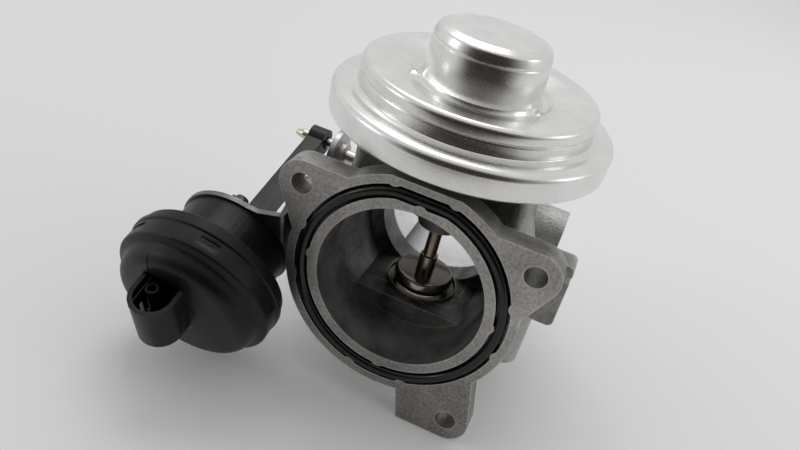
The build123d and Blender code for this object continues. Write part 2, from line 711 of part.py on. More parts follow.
can_nipple.part.label = "can_nipple"
export_step(can_nipple.part, "parts/can_nipple.step")

# ================================================================ can: diaphragm, plates, nut, spring
with BuildPart() as can_diaphragm:
    with BuildSketch(STEM_SIDE):
        with BuildLine():
            Polyline(
                (STEM_NECK_R, DIA_WEB_Z),
                (RIM_BEAD_R, DIA_WEB_Z),
                (RIM_BEAD_R, CRIMP_TOP_Z + BASE_T),
                (SKIRT_R - CAN_T - SEAL_GAP, CRIMP_TOP_Z + BASE_T),
                (SKIRT_R - CAN_T - SEAL_GAP, RING_Z - 3.6 * CAN_T),
                (RIM_BEAD_R, RING_Z - 2.2 * CAN_T),
                (RIM_BEAD_R - DIA_T, RING_Z - 2.2 * CAN_T),
                (RIM_BEAD_R - 2 * DIA_T, DIA_WEB_Z + DIA_T),
                (STEM_NECK_R, DIA_WEB_Z + DIA_T),
                close=True,
            )
        make_face()
    revolve(axis=CAN_AXIS)
can_diaphragm.part.label = "can_diaphragm"
export_step(can_diaphragm.part, "parts/can_diaphragm.step")

with BuildPart() as diaphragm_plate_lower:
    with BuildSketch(z_plane(PLATE_LOW_Z)):
        Circle(PLATE_DISC_R)
        Circle(STEM_NECK_R, mode=Mode.SUBTRACT)
    extrude(amount=PLATE_DISC_T)
    with BuildSketch(z_plane(PLATE_LOW_Z)):
        Circle(NUT_R)
        Circle(STEM_NECK_R, mode=Mode.SUBTRACT)
    extrude(amount=-PLATE_DISC_T)
diaphragm_plate_lower.part.label = "diaphragm_plate_lower"
export_step(diaphragm_plate_lower.part, "parts/diaphragm_plate_lower.step")

with BuildPart() as diaphragm_plate_upper:
    with BuildSketch(STEM_SIDE):
        with BuildLine():
            Polyline(
                (STEM_NECK_R, PLATE_HIGH_Z),
                (PLATE_DISC_R, PLATE_HIGH_Z),
                (PLATE_DISC_R, PLATE_HIGH_Z + PLATE_LIP),
                (PLATE_DISC_R - PLATE_DISC_T, PLATE_HIGH_Z + PLATE_LIP),
                (PLATE_DISC_R - PLATE_DISC_T, PLATE_HIGH_Z + PLATE_DISC_T),
                (STEM_NECK_R, PLATE_HIGH_Z + PLATE_DISC_T),
                close=True,
            )
        make_face()
    revolve(axis=CAN_AXIS)
diaphragm_plate_upper.part.label = "diaphragm_plate_upper"
export_step(diaphragm_plate_upper.part, "parts/diaphragm_plate_upper.step")

with BuildPart() as stem_nut:
    with BuildSketch(z_plane(NUT_Z)):
        RegularPolygon(NUT_R, 6)
        Circle(STEM_NECK_R, mode=Mode.SUBTRACT)
    extrude(amount=NUT_H)
stem_nut.part.label = "stem_nut"
export_step(stem_nut.part, "parts/stem_nut.step")

spring_len = SPRING_TOP_Z - NUT_Z - 2 * SPRING_WIRE_R
with BuildPart() as valve_spring:
    with BuildLine(z_plane(NUT_Z + SPRING_WIRE_R)) as coil:
        Helix(spring_len / SPRING_TURNS, spring_len, SPRING_R)
    with BuildSketch(Plane(origin=coil.line @ 0, z_dir=coil.line % 0)):
        Circle(SPRING_WIRE_R)
    sweep(is_frenet=True)
valve_spring.part.label = "valve_spring"
export_step(valve_spring.part, "parts/valve_spring.step")

# ================================================================ flap, shaft, bushes
with BuildPart() as flap_shaft:
    with BuildSketch(x_plane(SHAFT_LEFT_X)):
        with Locations((FLAP_Y, 0)):
            Circle(SHAFT_R)
    extrude(amount=SHAFT_RIGHT_X - SHAFT_LEFT_X)
    # slot that takes the flap plate
    with BuildSketch(Plane.XY.offset(-FLAP_T / 2 - SHAFT_SLOT_GAP)):
        with Locations((0, FLAP_Y)):
            Rectangle(2 * FLAP_R + 2 * SHAFT_SLOT_GAP, 2 * SHAFT_R + EDGE_BREAK)
    extrude(amount=FLAP_T + 2 * SHAFT_SLOT_GAP, mode=Mode.SUBTRACT)
    with BuildSketch(Plane.XY.offset(-SHAFT_R)):
        with Locations((-FLAP_SCREW_PITCH / 2, FLAP_Y), (FLAP_SCREW_PITCH / 2, FLAP_Y)):
            Circle(FLAP_SCREW_R)
    extrude(amount=2 * SHAFT_R, mode=Mode.SUBTRACT)
flap_shaft.part.label = "flap_shaft"
export_step(flap_shaft.part, "parts/flap_shaft.step")

with BuildPart() as flap_plate:
    with BuildSketch(Plane.XY.offset(-FLAP_T / 2)):
        with Locations((0, FLAP_Y)):
            Circle(FLAP_R)
        with Locations((-FLAP_SCREW_PITCH / 2, FLAP_Y), (FLAP_SCREW_PITCH / 2, FLAP_Y)):
            Circle(FLAP_SCREW_R, mode=Mode.SUBTRACT)
    extrude(amount=FLAP_T)
flap_plate.part.label = "flap_plate"
export_step(flap_plate.part, "parts/flap_plate.step")

with BuildPart() as flap_screws:
    with BuildSketch(Plane.XY.offset(-SHAFT_R)):
        with Locations((-FLAP_SCREW_PITCH / 2, FLAP_Y), (FLAP_SCREW_PITCH / 2, FLAP_Y)):
            Circle(FLAP_SCREW_R)
    extrude(amount=2 * SHAFT_R)
    with BuildSketch(Plane.XY.offset(SHAFT_R)):
        with Locations((-FLAP_SCREW_PITCH / 2, FLAP_Y), (FLAP_SCREW_PITCH / 2, FLAP_Y)):
            Circle(FLAP_SCREW_HEAD_R)
    extrude(amount=FLAP_SCREW_HEAD_H)
flap_screws.part.label = "flap_screws"
export_step(flap_screws.part, "parts/flap_screws.step")

with BuildPart() as shaft_bush_left:
    with BuildSketch(x_plane(LEFT_BOSS_X + SHAFT_SEAL_T)):
        with Locations((FLAP_Y, 0)):
            Circle(SHAFT_R + SHAFT_CLEAR + BUSH_WALL)
            Circle(SHAFT_R + SHAFT_CLEAR, mode=Mode.SUBTRACT)
    extrude(amount=-LEFT_BOSS_X - SHAFT_SEAL_T - FLAP_BORE_R - EDGE_BREAK)
shaft_bush_left.part.label = "shaft_bush_left"
export_step(shaft_bush_left.part, "parts/shaft_bush_left.step")

with BuildPart() as shaft_bush_right:
    with BuildSketch(x_plane(FLAP_BORE_R + EDGE_BREAK)):
        with Locations((FLAP_Y, 0)):
            Circle(SHAFT_R + SHAFT_CLEAR + BUSH_WALL)
            Circle(SHAFT_R + SHAFT_CLEAR, mode=Mode.SUBTRACT)
    extrude(amount=RIGHT_BOSS_X - CAP_PLUG_T - FLAP_BORE_R - EDGE_BREAK)
shaft_bush_right.part.label = "shaft_bush_right"
export_step(shaft_bush_right.part, "parts/shaft_bush_right.step")

with BuildPart() as shaft_seal:
    with BuildSketch(x_plane(LEFT_BOSS_X)):
        with Locations((FLAP_Y, 0)):
            Circle(SHAFT_R + SHAFT_CLEAR + BUSH_WALL)
            Circle(SHAFT_R + SHAFT_CLEAR, mode=Mode.SUBTRACT)
    extrude(amount=SHAFT_SEAL_T)
shaft_seal.part.label = "shaft_seal"
export_step(shaft_seal.part, "parts/shaft_seal.step")

with BuildPart() as shaft_end_cap:
    with BuildSketch(x_plane(RIGHT_BOSS_X - CAP_PLUG_T)):
        with Locations((FLAP_Y, 0)):
            Circle(CAP_PLUG_R)
    extrude(amount=CAP_PLUG_T)
    with BuildSketch(x_plane(RIGHT_BOSS_X)):
        with Locations((FLAP_Y, 0)):
            Circle(CAP_PLUG_R - 2 * EDGE_BREAK)
    extrude(amount=-EDGE_BREAK, mode=Mode.SUBTRACT)
shaft_end_cap.part.label = "shaft_end_cap"
export_step(shaft_end_cap.part, "parts/shaft_end_cap.step")

# ================================================================ crank plate and pin
with BuildPart() as crank_plate:
    with BuildSketch(x_plane(CRANK_X)):
        with Locations((FLAP_Y, 0)):
            Circle(CRANK_DISC_R)
    extrude(amount=-CRANK_T)
    with BuildSketch(x_plane(CRANK_X)):
        with Locations((FLAP_Y, 0)):
            Circle(CRANK_HUB_R)
    extrude(amount=CRANK_HUB_T)
    with BuildSketch(x_plane(CRANK_X - CRANK_T)):
        with Locations((FLAP_Y, 0)):
            Circle(SHAFT_R)
    extrude(amount=CRANK_T + CRANK_HUB_T, mode=Mode.SUBTRACT)
    with BuildSketch(x_plane(CRANK_X)):
        with Locations((PIN_Y, PIN_Z)):
            Circle(PIN_R)
    extrude(amount=-CRANK_T, mode=Mode.SUBTRACT)
crank_plate.part.label = "crank_plate"
export_step(crank_plate.part, "parts/crank_plate.step")

with BuildPart() as crank_pin:
    with BuildSketch(x_plane(CRANK_X)):
        with Locations((PIN_Y, PIN_Z)):
            Circle(PIN_R)
    extrude(amount=-CRANK_T - PIN_LEN + PIN_NOSE)
    # tapered nose
    with BuildSketch(Plane(origin=(CRANK_X - CRANK_T - PIN_LEN + PIN_NOSE, 0, 0), x_dir=(0, 1, 0),
                           z_dir=(-1, 0, 0))):
        with Locations((PIN_Y, -PIN_Z)):
            Circle(PIN_R)
    extrude(amount=PIN_NOSE, taper=PIN_NOSE_DRAFT)
crank_pin.part.label = "crank_pin"
export_step(crank_pin.part, "parts/crank_pin.step")

# ================================================================ drive rod
ball = ACT_O + ACT_DIR * PISTON_S + Vector(ROD_X - ACT_X, 0, 0)
# the eye sits off the pin by the amount that shares out the play over the stroke
eye = Vector(ROD_X, PIN_Y + EYE_OFFSET_Y, PIN_Z + EYE_OFFSET_Z)
rod_dir = (eye - ball).normalized()
rod_len = (eye - ball).length
ROD_PLANE = Plane(origin=ball - Vector(ROD_T / 2, 0, 0), x_dir=rod_dir, z_dir=(1, 0, 0))
with BuildPart() as drive_rod:
    with BuildSketch(ROD_PLANE):
        with Locations((rod_len, 0)):
            Circle(EYE_R)
        with Locations((SOCKET_R + EDGE_BREAK, 0)):
            Rectangle(rod_len - SOCKET_R - EDGE_BREAK, ROD_W, align=(Align.MIN, Align.CENTER))
        with Locations((rod_len, 0)):
            Circle(PIN_R + EYE_CLEAR, mode=Mode.SUBTRACT)
    extrude(amount=ROD_T)
    with BuildSketch(Plane(origin=ball, x_dir=(1, 0, 0), z_dir=rod_dir)):
        Circle(ROD_NECK_R)
    extrude(amount=SOCKET_R + 2 * EDGE_BREAK)
    with Locations(Plane(origin=ball)):
        Sphere(ROD_BALL_R)
drive_rod.part.label = "drive_rod"
export_step(drive_rod.part, "parts/drive_rod.step")

# ================================================================ flap actuator
with BuildPart() as actuator_rear_housing:
    with BuildSketch(ACT_PROFILE):
        with BuildLine():
            Polyline(
                (ROD_PORT_R, REAR_S),
                (REAR_R, REAR_S),
                (REAR_R, NECK_S),
                (COLLAR_R, COLLAR_S),
                (COLLAR_R, 0),
                (COLLAR_R - SHELL_T, 0),
                (COLLAR_R - SHELL_T, COLLAR_S + SHELL_T),
                (REAR_R - SHELL_T, NECK_S + SHELL_T),
                (REAR_R - SHELL_T, REAR_S + SHELL_T),
                (ROD_PORT_R, REAR_S + SHELL_T),
                close=True,
            )
        make_face()
    revolve(axis=ACT_AXIS)
actuator_rear_housing.part.label = "actuator_rear_housing"
export_step(actuator_rear_housing.part, "parts/actuator_rear_housing.step")

DIA_EDGE_R = RING_R - SHELL_T
WELL_S = DOME_S - SHELL_T
CHAMBER_S = WELL_S - SHELL_T
NIP_S = WELL_S + NIP_R + EDGE_BREAK + BALL_CLEAR
with BuildPart() as actuator_front_cover:
    with BuildSketch(ACT_PROFILE):
        with BuildLine():
            outer = FilletPolyline(
                (LIP_R, 0),
                (LIP_R, LIP_S),
                (RING_R, LIP_S + LIP_R - RING_R),
                (RING_R, RING_S),
                (DOME_SHELF_R, DOME_SHELF_S),
                (DOME_BULGE_R, DOME_S - 2 * EDGE_BREAK),
                (DOME_FLAT_R, DOME_S),
                (0, DOME_S),
                radius=[0.3, 0.2, 1.0, 0.8, 5.0, 2.0],
            )
            Polyline((0, DOME_S), (0, 0), (LIP_R, 0))
        make_face()
        offset(amount=-SHELL_T, mode=Mode.SUBTRACT)
        with Locations((0, 0)):
            Rectangle(DIA_EDGE_R, 2 * SHELL_T, align=(Align.MIN, Align.MIN), mode=Mode.SUBTRACT)
            Rectangle(2 * SHELL_T, DOME_S - SHELL_T, align=(Align.MIN, Align.MIN), mode=Mode.SUBTRACT)
    revolve(axis=ACT_AXIS)
    # shroud round the nipple: a straight back against the dome and a round front
    with BuildSketch(act_up_plane(SHROUD_BOTTOM_V)):
        with BuildSketch(mode=Mode.PRIVATE) as shroud_outline:
            with Locations((-SHROUD_X, SHROUD_S)):
                Circle(SHROUD_W / 2)
            with Locations((-SHROUD_X - SHROUD_W / 2 + EDGE_BREAK, CHAMBER_S + EDGE_BREAK),
                           (-SHROUD_X + SHROUD_W / 2 - EDGE_BREAK, CHAMBER_S + EDGE_BREAK)):
                Circle(EDGE_BREAK)
        make_hull(shroud_outline.sketch.edges())
        with Locations((-SHROUD_X, CHAMBER_S)):
            Rectangle(2 * SHROUD_W, SHROUD_W, align=(Align.CENTER, Align.MAX), mode=Mode.SUBTRACT)
    extrude(amount=SHROUD_TOP_V - SHROUD_BOTTOM_V)
    with BuildSketch(act_up_plane(SHROUD_BOTTOM_V + SHROUD_WALL)):
        with BuildSketch(mode=Mode.PRIVATE) as shroud_hollow:
            with Locations((-SHROUD_X, SHROUD_S)):
                Circle(SHROUD_W / 2 - SHROUD_WALL)
            with Locations((-SHROUD_X - SHROUD_W / 2 + SHROUD_WALL + EDGE_BREAK, WELL_S + EDGE_BREAK),
                           (-SHROUD_X + SHROUD_W / 2 - SHROUD_WALL - EDGE_BREAK, WELL_S + EDGE_BREAK)):
                Circle(EDGE_BREAK)
        make_hull(shroud_hollow.sketch.edges())
        with Locations((-SHROUD_X, WELL_S)):
            Rectangle(2 * SHROUD_W, SHROUD_W, align=(Align.CENTER, Align.MAX), mode=Mode.SUBTRACT)
    extrude(amount=SHROUD_TOP_V - SHROUD_BOTTOM_V, mode=Mode.SUBTRACT)
    # slot in the wall of the shroud
    with BuildSketch(act_up_plane(SHROUD_BOTTOM_V + SHROUD_WALL)):
        with Locations((-SHROUD_X + SHROUD_W / 2, SHROUD_S)):
            Rectangle(4 * SHROUD_WALL, SHROUD_SLOT_W)
    extrude(amount=SHROUD_SLOT_H, mode=Mode.SUBTRACT)
    # snap windows round the skirt
    with BuildSketch(act_plane(LIP_S + SHELL_T)):
        with PolarLocations(RING_R, SNAP_COUNT, start_angle=90 / SNAP_COUNT):
            Rectangle(SHELL_T / 2, SNAP_W)
    extrude(amount=SNAP_H, mode=Mode.SUBTRACT)
actuator_front_cover.part.label = "actuator_front_cover"
export_step(actuator_front_cover.part, "parts/actuator_front_cover.step")

with BuildPart() as actuator_nipple:
    with BuildSketch(act_up_plane(SHROUD_BOTTOM_V + SHROUD_WALL)):
        with Locations((-NIP_X, NIP_S)):
            Circle(NIP_R + EDGE_BREAK)
            Circle(NIP_BORE_R, mode=Mode.SUBTRACT)
    extrude(amount=NIP_BASE_V - SHROUD_BOTTOM_V - SHROUD_WALL)
    with BuildSketch(act_up_plane(NIP_BASE_V)):
        with Locations((-NIP_X, NIP_S)):
            Circle(NIP_R)
            Circle(NIP_BORE_R, mode=Mode.SUBTRACT)
    extrude(amount=NIP_TOP_V - NIP_BASE_V)
actuator_nipple.part.label = "actuator_nipple"
export_step(actuator_nipple.part, "parts/actuator_nipple.step")

with BuildPart() as actuator_piston:
    with BuildSketch(ACT_PROFILE):
        with BuildLine():
            Polyline(
                (0, PISTON_S + SOCKET_R + BALL_CLEAR),
                (PISTON_R, PISTON_S + SOCKET_R + BALL_CLEAR),
                (PISTON_R, PISTON_S + SOCKET_R + BALL_CLEAR + PISTON_T),
                (0, PISTON_S + SOCKET_R + BALL_CLEAR + PISTON_T),
                close=True,
            )
        make_face()
    revolve(axis=ACT_AXIS)
    with BuildSketch(act_plane(PISTON_S - SOCKET_LEN + SOCKET_R / 2)):
        with Locations((ACT_X - ROD_X, 0)):
            Circle(SOCKET_R + BALL_CLEAR)
            Circle(ROD_BALL_R + BALL_CLEAR, mode=Mode.SUBTRACT)
    extrude(amount=SOCKET_LEN + SOCKET_R / 2 + BALL_CLEAR)
actuator_piston.part.label = "actuator_piston"
export_step(actuator_piston.part, "parts/actuator_piston.step")

PISTON_FACE_S = PISTON_S + SOCKET_R + BALL_CLEAR + PISTON_T
with BuildPart() as actuator_diaphragm:
    with BuildSketch(ACT_PROFILE):
        with BuildLine():
            Polyline(
                (0, PISTON_FACE_S),
                (PISTON_R, PISTON_FACE_S),
                (COLLAR_R - SHELL_T, 0),
                (DIA_EDGE_R - SEAL_GAP, 0),
                (DIA_EDGE_R - SEAL_GAP, SHELL_T),
                (COLLAR_R - SHELL_T - ACT_DIA_T, SHELL_T),
                (PISTON_R, PISTON_FACE_S + ACT_DIA_T),
                (0, PISTON_FACE_S + ACT_DIA_T),
                close=True,
            )
        make_face()
    revolve(axis=ACT_AXIS)
actuator_diaphragm.part.label = "actuator_diaphragm"
export_step(actuator_diaphragm.part, "parts/actuator_diaphragm.step")

spring_s = PISTON_FACE_S + ACT_DIA_T
act_spring_len = CHAMBER_S - spring_s - 2 * ACT_SPRING_WIRE_R
with BuildPart() as actuator_spring:
    with BuildLine() as act_coil:
        Helix(act_spring_len / ACT_SPRING_TURNS, act_spring_len, ACT_SPRING_R,
              center=ACT_O + ACT_DIR * (spring_s + ACT_SPRING_WIRE_R), direction=ACT_DIR)
    with BuildSketch(Plane(origin=act_coil.line @ 0, z_dir=act_coil.line % 0)):
        Circle(ACT_SPRING_WIRE_R)
    sweep(is_frenet=True)
actuator_spring.part.label = "actuator_spring"
export_step(actuator_spring.part, "parts/actuator_spring.step")

# ================================================================ bracket and its fasteners
side_off = BR_SIDE_X - ACT_X
with BuildPart() as bracket:
    # plate behind the actuator with an arm to the right
    with BuildSketch(act_plane(REAR_S)):
        Circle(BR_REACH_R)
        with BuildLine():
            Polyline(
                (0, -BR_ARM_TOP_V),
                (-side_off / 2, -BR_ARM_TOP_V + EDGE_BREAK),
                (-side_off + BR_T, -BR_SIDE_TOP_V),
                (-side_off + BR_T, -BR_SIDE_LOW_V),
                (-side_off + 3 * BR_T, -BR_ARM_LOW_V),
                (0, BR_REACH_R - 2 * BR_T),
                close=True,
            )
        make_face()
        Circle(ROD_PORT_R, mode=Mode.SUBTRACT)
        with Locations((0, ACT_STUD_U), (0, -ACT_STUD_U)):
            Circle(ACT_STUD_R + SCREW_CLEAR, mode=Mode.SUBTRACT)
    extrude(amount=-BR_T)
    # side flange that runs back along the housing
    side_plane = Plane(origin=ACT_O + ACT_DIR * REAR_S + Vector(side_off, 0, 0),
                       x_dir=-ACT_DIR, z_dir=(1, 0, 0))
    with BuildSketch(side_plane):
        with BuildSketch(mode=Mode.PRIVATE) as side_outline:
            with Locations((0, BR_SIDE_LOW_V)):
                Rectangle(BR_T, BR_SIDE_TOP_V - BR_SIDE_LOW_V, align=(Align.MIN, Align.MIN))
            with Locations((BR_STUD_BACK, BR_STUD_LOW_V), (BR_STUD_BACK, BR_STUD_HIGH_V)):
                Circle(BR_BOSS_R)
        make_hull(side_outline.sketch.edges())
        with Locations((BR_STUD_BACK, BR_STUD_LOW_V), (BR_STUD_BACK, BR_STUD_HIGH_V)):
            Circle(BR_BOLT_R + SCREW_CLEAR, mode=Mode.SUBTRACT)
    extrude(amount=-BR_T)
    # rounded bend between the two
    bend_at = side_plane.origin + ACT_UP * (BR_SIDE_TOP_V + BR_SIDE_LOW_V) / 2
    fillet(bracket.edges().filter_by(Axis((0, 0, 0), ACT_UP)).sort_by_distance(bend_at)[0], BR_T)
bracket.part.label = "bracket"
export_step(bracket.part, "parts/bracket.step")

with BuildPart() as bracket_bolts:
    with BuildSketch(Plane(origin=side_plane.origin - Vector(BR_T, 0, 0), x_dir=-ACT_DIR, z_dir=(1, 0, 0))):
        with Locations((BR_STUD_BACK, BR_STUD_LOW_V), (BR_STUD_BACK, BR_STUD_HIGH_V)):
            RegularPolygon(BR_BOLT_HEAD_R, 6)
    extrude(amount=-BR_BOLT_HEAD_H)
    with BuildSketch(Plane(origin=side_plane.origin - Vector(BR_T, 0, 0), x_dir=-ACT_DIR, z_dir=(1, 0, 0))):
        with Locations((BR_STUD_BACK, BR_STUD_LOW_V), (BR_STUD_BACK, BR_STUD_HIGH_V)):
            Circle(BR_BOLT_R)
    extrude(amount=BR_T + BR_BOLT_LEN - EDGE_BREAK)
bracket_bolts.part.label = "bracket_bolts"
export_step(bracket_bolts.part, "parts/bracket_bolts.step")

with BuildPart() as actuator_studs:
    with BuildSketch(act_plane(REAR_S)):
        with Locations((0, ACT_STUD_U), (0, -ACT_STUD_U)):
            Circle(ACT_STUD_R)
    extrude(amount=-BR_T - ACT_STUD_LEN)
    with BuildSketch(act_plane(REAR_S - BR_T)):
        with Locations((0, ACT_STUD_U), (0, -ACT_STUD_U)):
            RegularPolygon(ACT_NUT_R, 6)
    extrude(amount=-ACT_NUT_H)
actuator_studs.part.label = "actuator_studs"
export_step(actuator_studs.part, "parts/actuator_studs.step")
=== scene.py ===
import json
import math

import bmesh
import bpy
import numpy as np
from mathutils import Matrix, Vector
from mathutils.bvhtree import BVHTree


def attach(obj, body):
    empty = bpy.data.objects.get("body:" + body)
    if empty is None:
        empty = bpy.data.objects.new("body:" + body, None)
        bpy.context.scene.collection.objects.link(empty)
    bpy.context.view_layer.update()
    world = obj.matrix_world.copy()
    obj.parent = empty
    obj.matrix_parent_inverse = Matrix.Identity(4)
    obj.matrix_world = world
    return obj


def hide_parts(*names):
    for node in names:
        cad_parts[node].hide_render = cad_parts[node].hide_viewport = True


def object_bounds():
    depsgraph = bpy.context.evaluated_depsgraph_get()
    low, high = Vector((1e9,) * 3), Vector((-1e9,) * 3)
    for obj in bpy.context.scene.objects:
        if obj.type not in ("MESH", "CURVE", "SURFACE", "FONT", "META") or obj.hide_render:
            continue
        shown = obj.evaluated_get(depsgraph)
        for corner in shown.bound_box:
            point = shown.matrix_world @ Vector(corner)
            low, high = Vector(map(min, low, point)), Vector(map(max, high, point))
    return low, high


MM = 0.001
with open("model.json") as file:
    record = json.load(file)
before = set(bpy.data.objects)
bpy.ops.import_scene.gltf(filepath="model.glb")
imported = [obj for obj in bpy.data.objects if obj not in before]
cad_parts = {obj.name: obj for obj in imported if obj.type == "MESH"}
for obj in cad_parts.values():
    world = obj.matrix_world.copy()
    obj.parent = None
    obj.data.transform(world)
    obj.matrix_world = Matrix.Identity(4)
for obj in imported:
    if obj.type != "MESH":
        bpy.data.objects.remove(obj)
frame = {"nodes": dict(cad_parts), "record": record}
cad_low, cad_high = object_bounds()

# ------------------------------------------------------------------ shared sizes (mm)
STEM_Y = 38.5
STEM_O = np.array([0.0, STEM_Y, 0.0])
FLAP_Y = 70.0
TILT = math.radians(20.0)
ACT_O = np.array([-61.5, -9.0, -18.3])
ACT_D = np.array([0.0, -math.cos(TILT), -math.sin(TILT)])
ACT_V = np.array([0.0, -math.sin(TILT), math.cos(TILT)])
UP = np.array([0.0, 0.0, 1.0])
RIGHT = np.array([1.0, 0.0, 0.0])
TRACK_IN, TRACK_OUT, TRACK_FLAT = 31.4, 36.1, 35.0
TRACK_CORE = TRACK_FLAT - TRACK_OUT + TRACK_IN
NUB, NUB_BITE = 2.6, 0.8
NUB_LEAN = 15  # degrees to each side of the outer nubs' places
BEAD_HALF = 1.5
BEAD_WIDE = 2 * BEAD_HALF
BEAD_CLEAR = 0.05
SEAM_RADIUS, SEAM_RISE = 0.16, 0.02
RAY_START = 60.0
CRIMP_REACH, CRIMP_HEIGHT = 1.7, 1.5
CRIMP_TOP, CRIMP_FADE = 59.4, 1.2
# angle round the bore axis where the painted dark reflection in the rear bore begins
DARK_REFLECTION_ANGLE = math.radians(-127.3)

# ------------------------------------------------------------------ machined faces of the housing (m)
FACE_END = 0.00012  # the planed front face
BORE_WALL, BORE_END = 0.02815, 0.0481  # the main bore, in front of the throat
REAR_WALL, REAR_START = 0.0250, 0.0581  # the turned rear bore
PAD_INNER, PAD_OUTER = (0.0128, 0.0138), (0.0165, 0.0225)  # fade in and out round the seat's pad
PAD_TOP = -0.0150

# ------------------------------------------------------------------ mesh and stage (m)
WELD = 2e-6
TABLE_GLOW = 0.10
TABLE_FRONT = -0.20
TABLE_SIZE = 3.0
TABLE_DROP = 0.0002
ROOM_LIGHT = 0.79
SENSOR_WIDTH, LENS = 36.0, 33.75  # mm
CAM_PLACE = Vector((0.037366, -0.187131, 0.138106))
CAM_RIGHT = Vector((0.910829, 0.344911, 0.226776))
CAM_UP = Vector((-0.367492, 0.427359, 0.826023))


# ------------------------------------------------------------------ node helpers
def link(tree, a, out, b, into):
    """Joins an output socket to an input socket."""
    tree.links.new(a.outputs[out], b.inputs[into])


def node(tree, kind, **settings):
    """A shader node with its plain settings, and its numbers where a socket name is given."""
    n = tree.nodes.new(kind)
    for key, value in settings.items():
        if key == "sockets":
            for name, number in value.items():
                n.inputs[name].default_value = number
        else:
            setattr(n, key, value)
    return n


def maths(tree, operation, a, b=None, c=None, clamp=False):
    """One Math node; each operand is a number or an output socket."""
    n = node(tree, "ShaderNodeMath", operation=operation, use_clamp=clamp)
    for i, operand in enumerate((a, b, c)):
        if operand is None:
            continue
        if isinstance(operand, (int, float)):
            n.inputs[i].default_value = operand
        else:
            tree.links.new(operand, n.inputs[i])
    return n.outputs[0]


def group(name, inputs, outputs):
    """A new shader group with float or vector inputs and float outputs."""
    tree = bpy.data.node_groups.new(name, "ShaderNodeTree")
    for title, kind, default in inputs:
        s = tree.interface.new_socket(title, in_out="INPUT", socket_type=kind)
        if default is not None:
            s.default_value = default
    for title, kind in outputs:
        tree.interface.new_socket(title, in_out="OUTPUT", socket_type=kind)
    return tree, tree.nodes.new("NodeGroupInput"), tree.nodes.new("NodeGroupOutput")


F, V = "NodeSocketFloat", "NodeSocketVector"


def make_grain():
    """Cast or moulded skin: blotches, pits and fine grain from the place in space."""
    tree, gin, gout = group("cast_grain", [("Vector", V, None), ("Size", F, 1.0)],
                            [("Blotch", F), ("Pits", F), ("Height", F)])
    scaled = node(tree, "ShaderNodeVectorMath", operation="SCALE")
    link(tree, gin, "Vector", scaled, 0)
    tree.links.new(gin.outputs["Size"], scaled.inputs["Scale"])
    blotch = node(tree, "ShaderNodeTexNoise", sockets={"Scale": 90.0, "Detail": 4.0, "Roughness": 0.62})
    link(tree, scaled, 0, blotch, "Vector")
    grain = node(tree, "ShaderNodeTexNoise", sockets={"Scale": 1500.0, "Detail": 3.0, "Roughness": 0.6})
    link(tree, scaled, 0, grain, "Vector")
    pits = node(tree, "ShaderNodeTexVoronoi", sockets={"Scale": 700.0, "Randomness": 1.0})
    link(tree, scaled, 0, pits, "Vector")
    hollow = maths(tree, "SUBTRACT", 0.42, pits.outputs["Distance"], clamp=True)
    tree.links.new(blotch.outputs["Fac"], gout.inputs["Blotch"])
    tree.links.new(hollow, gout.inputs["Pits"])
    rise = maths(tree, "MULTIPLY_ADD", grain.outputs["Fac"], 0.75, maths(tree, "MULTIPLY", hollow, -0.6))
    tree.links.new(rise, gout.inputs["Height"])
    return tree


def make_lines():
    """Turning lines: rings about an axis through Centre.

    Keep leaves the two directions across the axis, and Along is the axis itself.
    """
    tree, gin, gout = group(
        "turning_lines",
        [("Vector", V, None), ("Centre", V, (0, 0, 0)), ("Keep", V, (1, 0, 1)), ("Along", V, (0, 1, 0)),
         ("Pitch", F, 6000.0)],
        [("Radius", F), ("Height", F)])
    off = node(tree, "ShaderNodeVectorMath", operation="SUBTRACT")
    link(tree, gin, "Vector", off, 0)
    link(tree, gin, "Centre", off, 1)
    kept = node(tree, "ShaderNodeVectorMath", operation="MULTIPLY")
    link(tree, off, 0, kept, 0)
    link(tree, gin, "Keep", kept, 1)
    radius = node(tree, "ShaderNodeVectorMath", operation="LENGTH")
    link(tree, kept, 0, radius, 0)
    axial = node(tree, "ShaderNodeVectorMath", operation="DOT_PRODUCT")
    link(tree, off, 0, axial, 0)
    link(tree, gin, "Along", axial, 1)
    run = maths(tree, "ADD", radius.outputs["Value"], axial.outputs["Value"])
    noise = node(tree, "ShaderNodeTexNoise", noise_dimensions="1D", sockets={"Detail": 3.0, "Roughness": 0.7})
    tree.links.new(run, noise.inputs["W"])
    link(tree, gin, "Pitch", noise, "Scale")
    tree.links.new(radius.outputs["Value"], gout.inputs["Radius"])
    tree.links.new(noise.outputs["Fac"], gout.inputs["Height"])
    return tree


def make_scratches():
    """Fine handling marks: thin lines of stretched noise in two directions."""
    tree, gin, gout = group("scratches", [("Vector", V, None)], [("Mask", F)])
    total = None
    for turn, stretch in (((0.3, 0.2, 0.7), (60, 4000, 900)), ((1.1, 0.6, -0.4), (3500, 70, 1200))):
        place = node(tree, "ShaderNodeMapping")
        place.inputs["Rotation"].default_value = turn
        place.inputs["Scale"].default_value = stretch
        link(tree, gin, "Vector", place, "Vector")
        noise = node(tree, "ShaderNodeTexNoise", sockets={"Scale": 1.0, "Detail": 2.0})
        link(tree, place, 0, noise, "Vector")
        thin = maths(tree, "SUBTRACT", noise.outputs["Fac"], 0.66, clamp=True)
        thin = maths(tree, "MULTIPLY", thin, 7.0, clamp=True)
        total = thin if total is None else maths(tree, "ADD", total, thin, clamp=True)
    tree.links.new(total, gout.inputs["Mask"])
    return tree


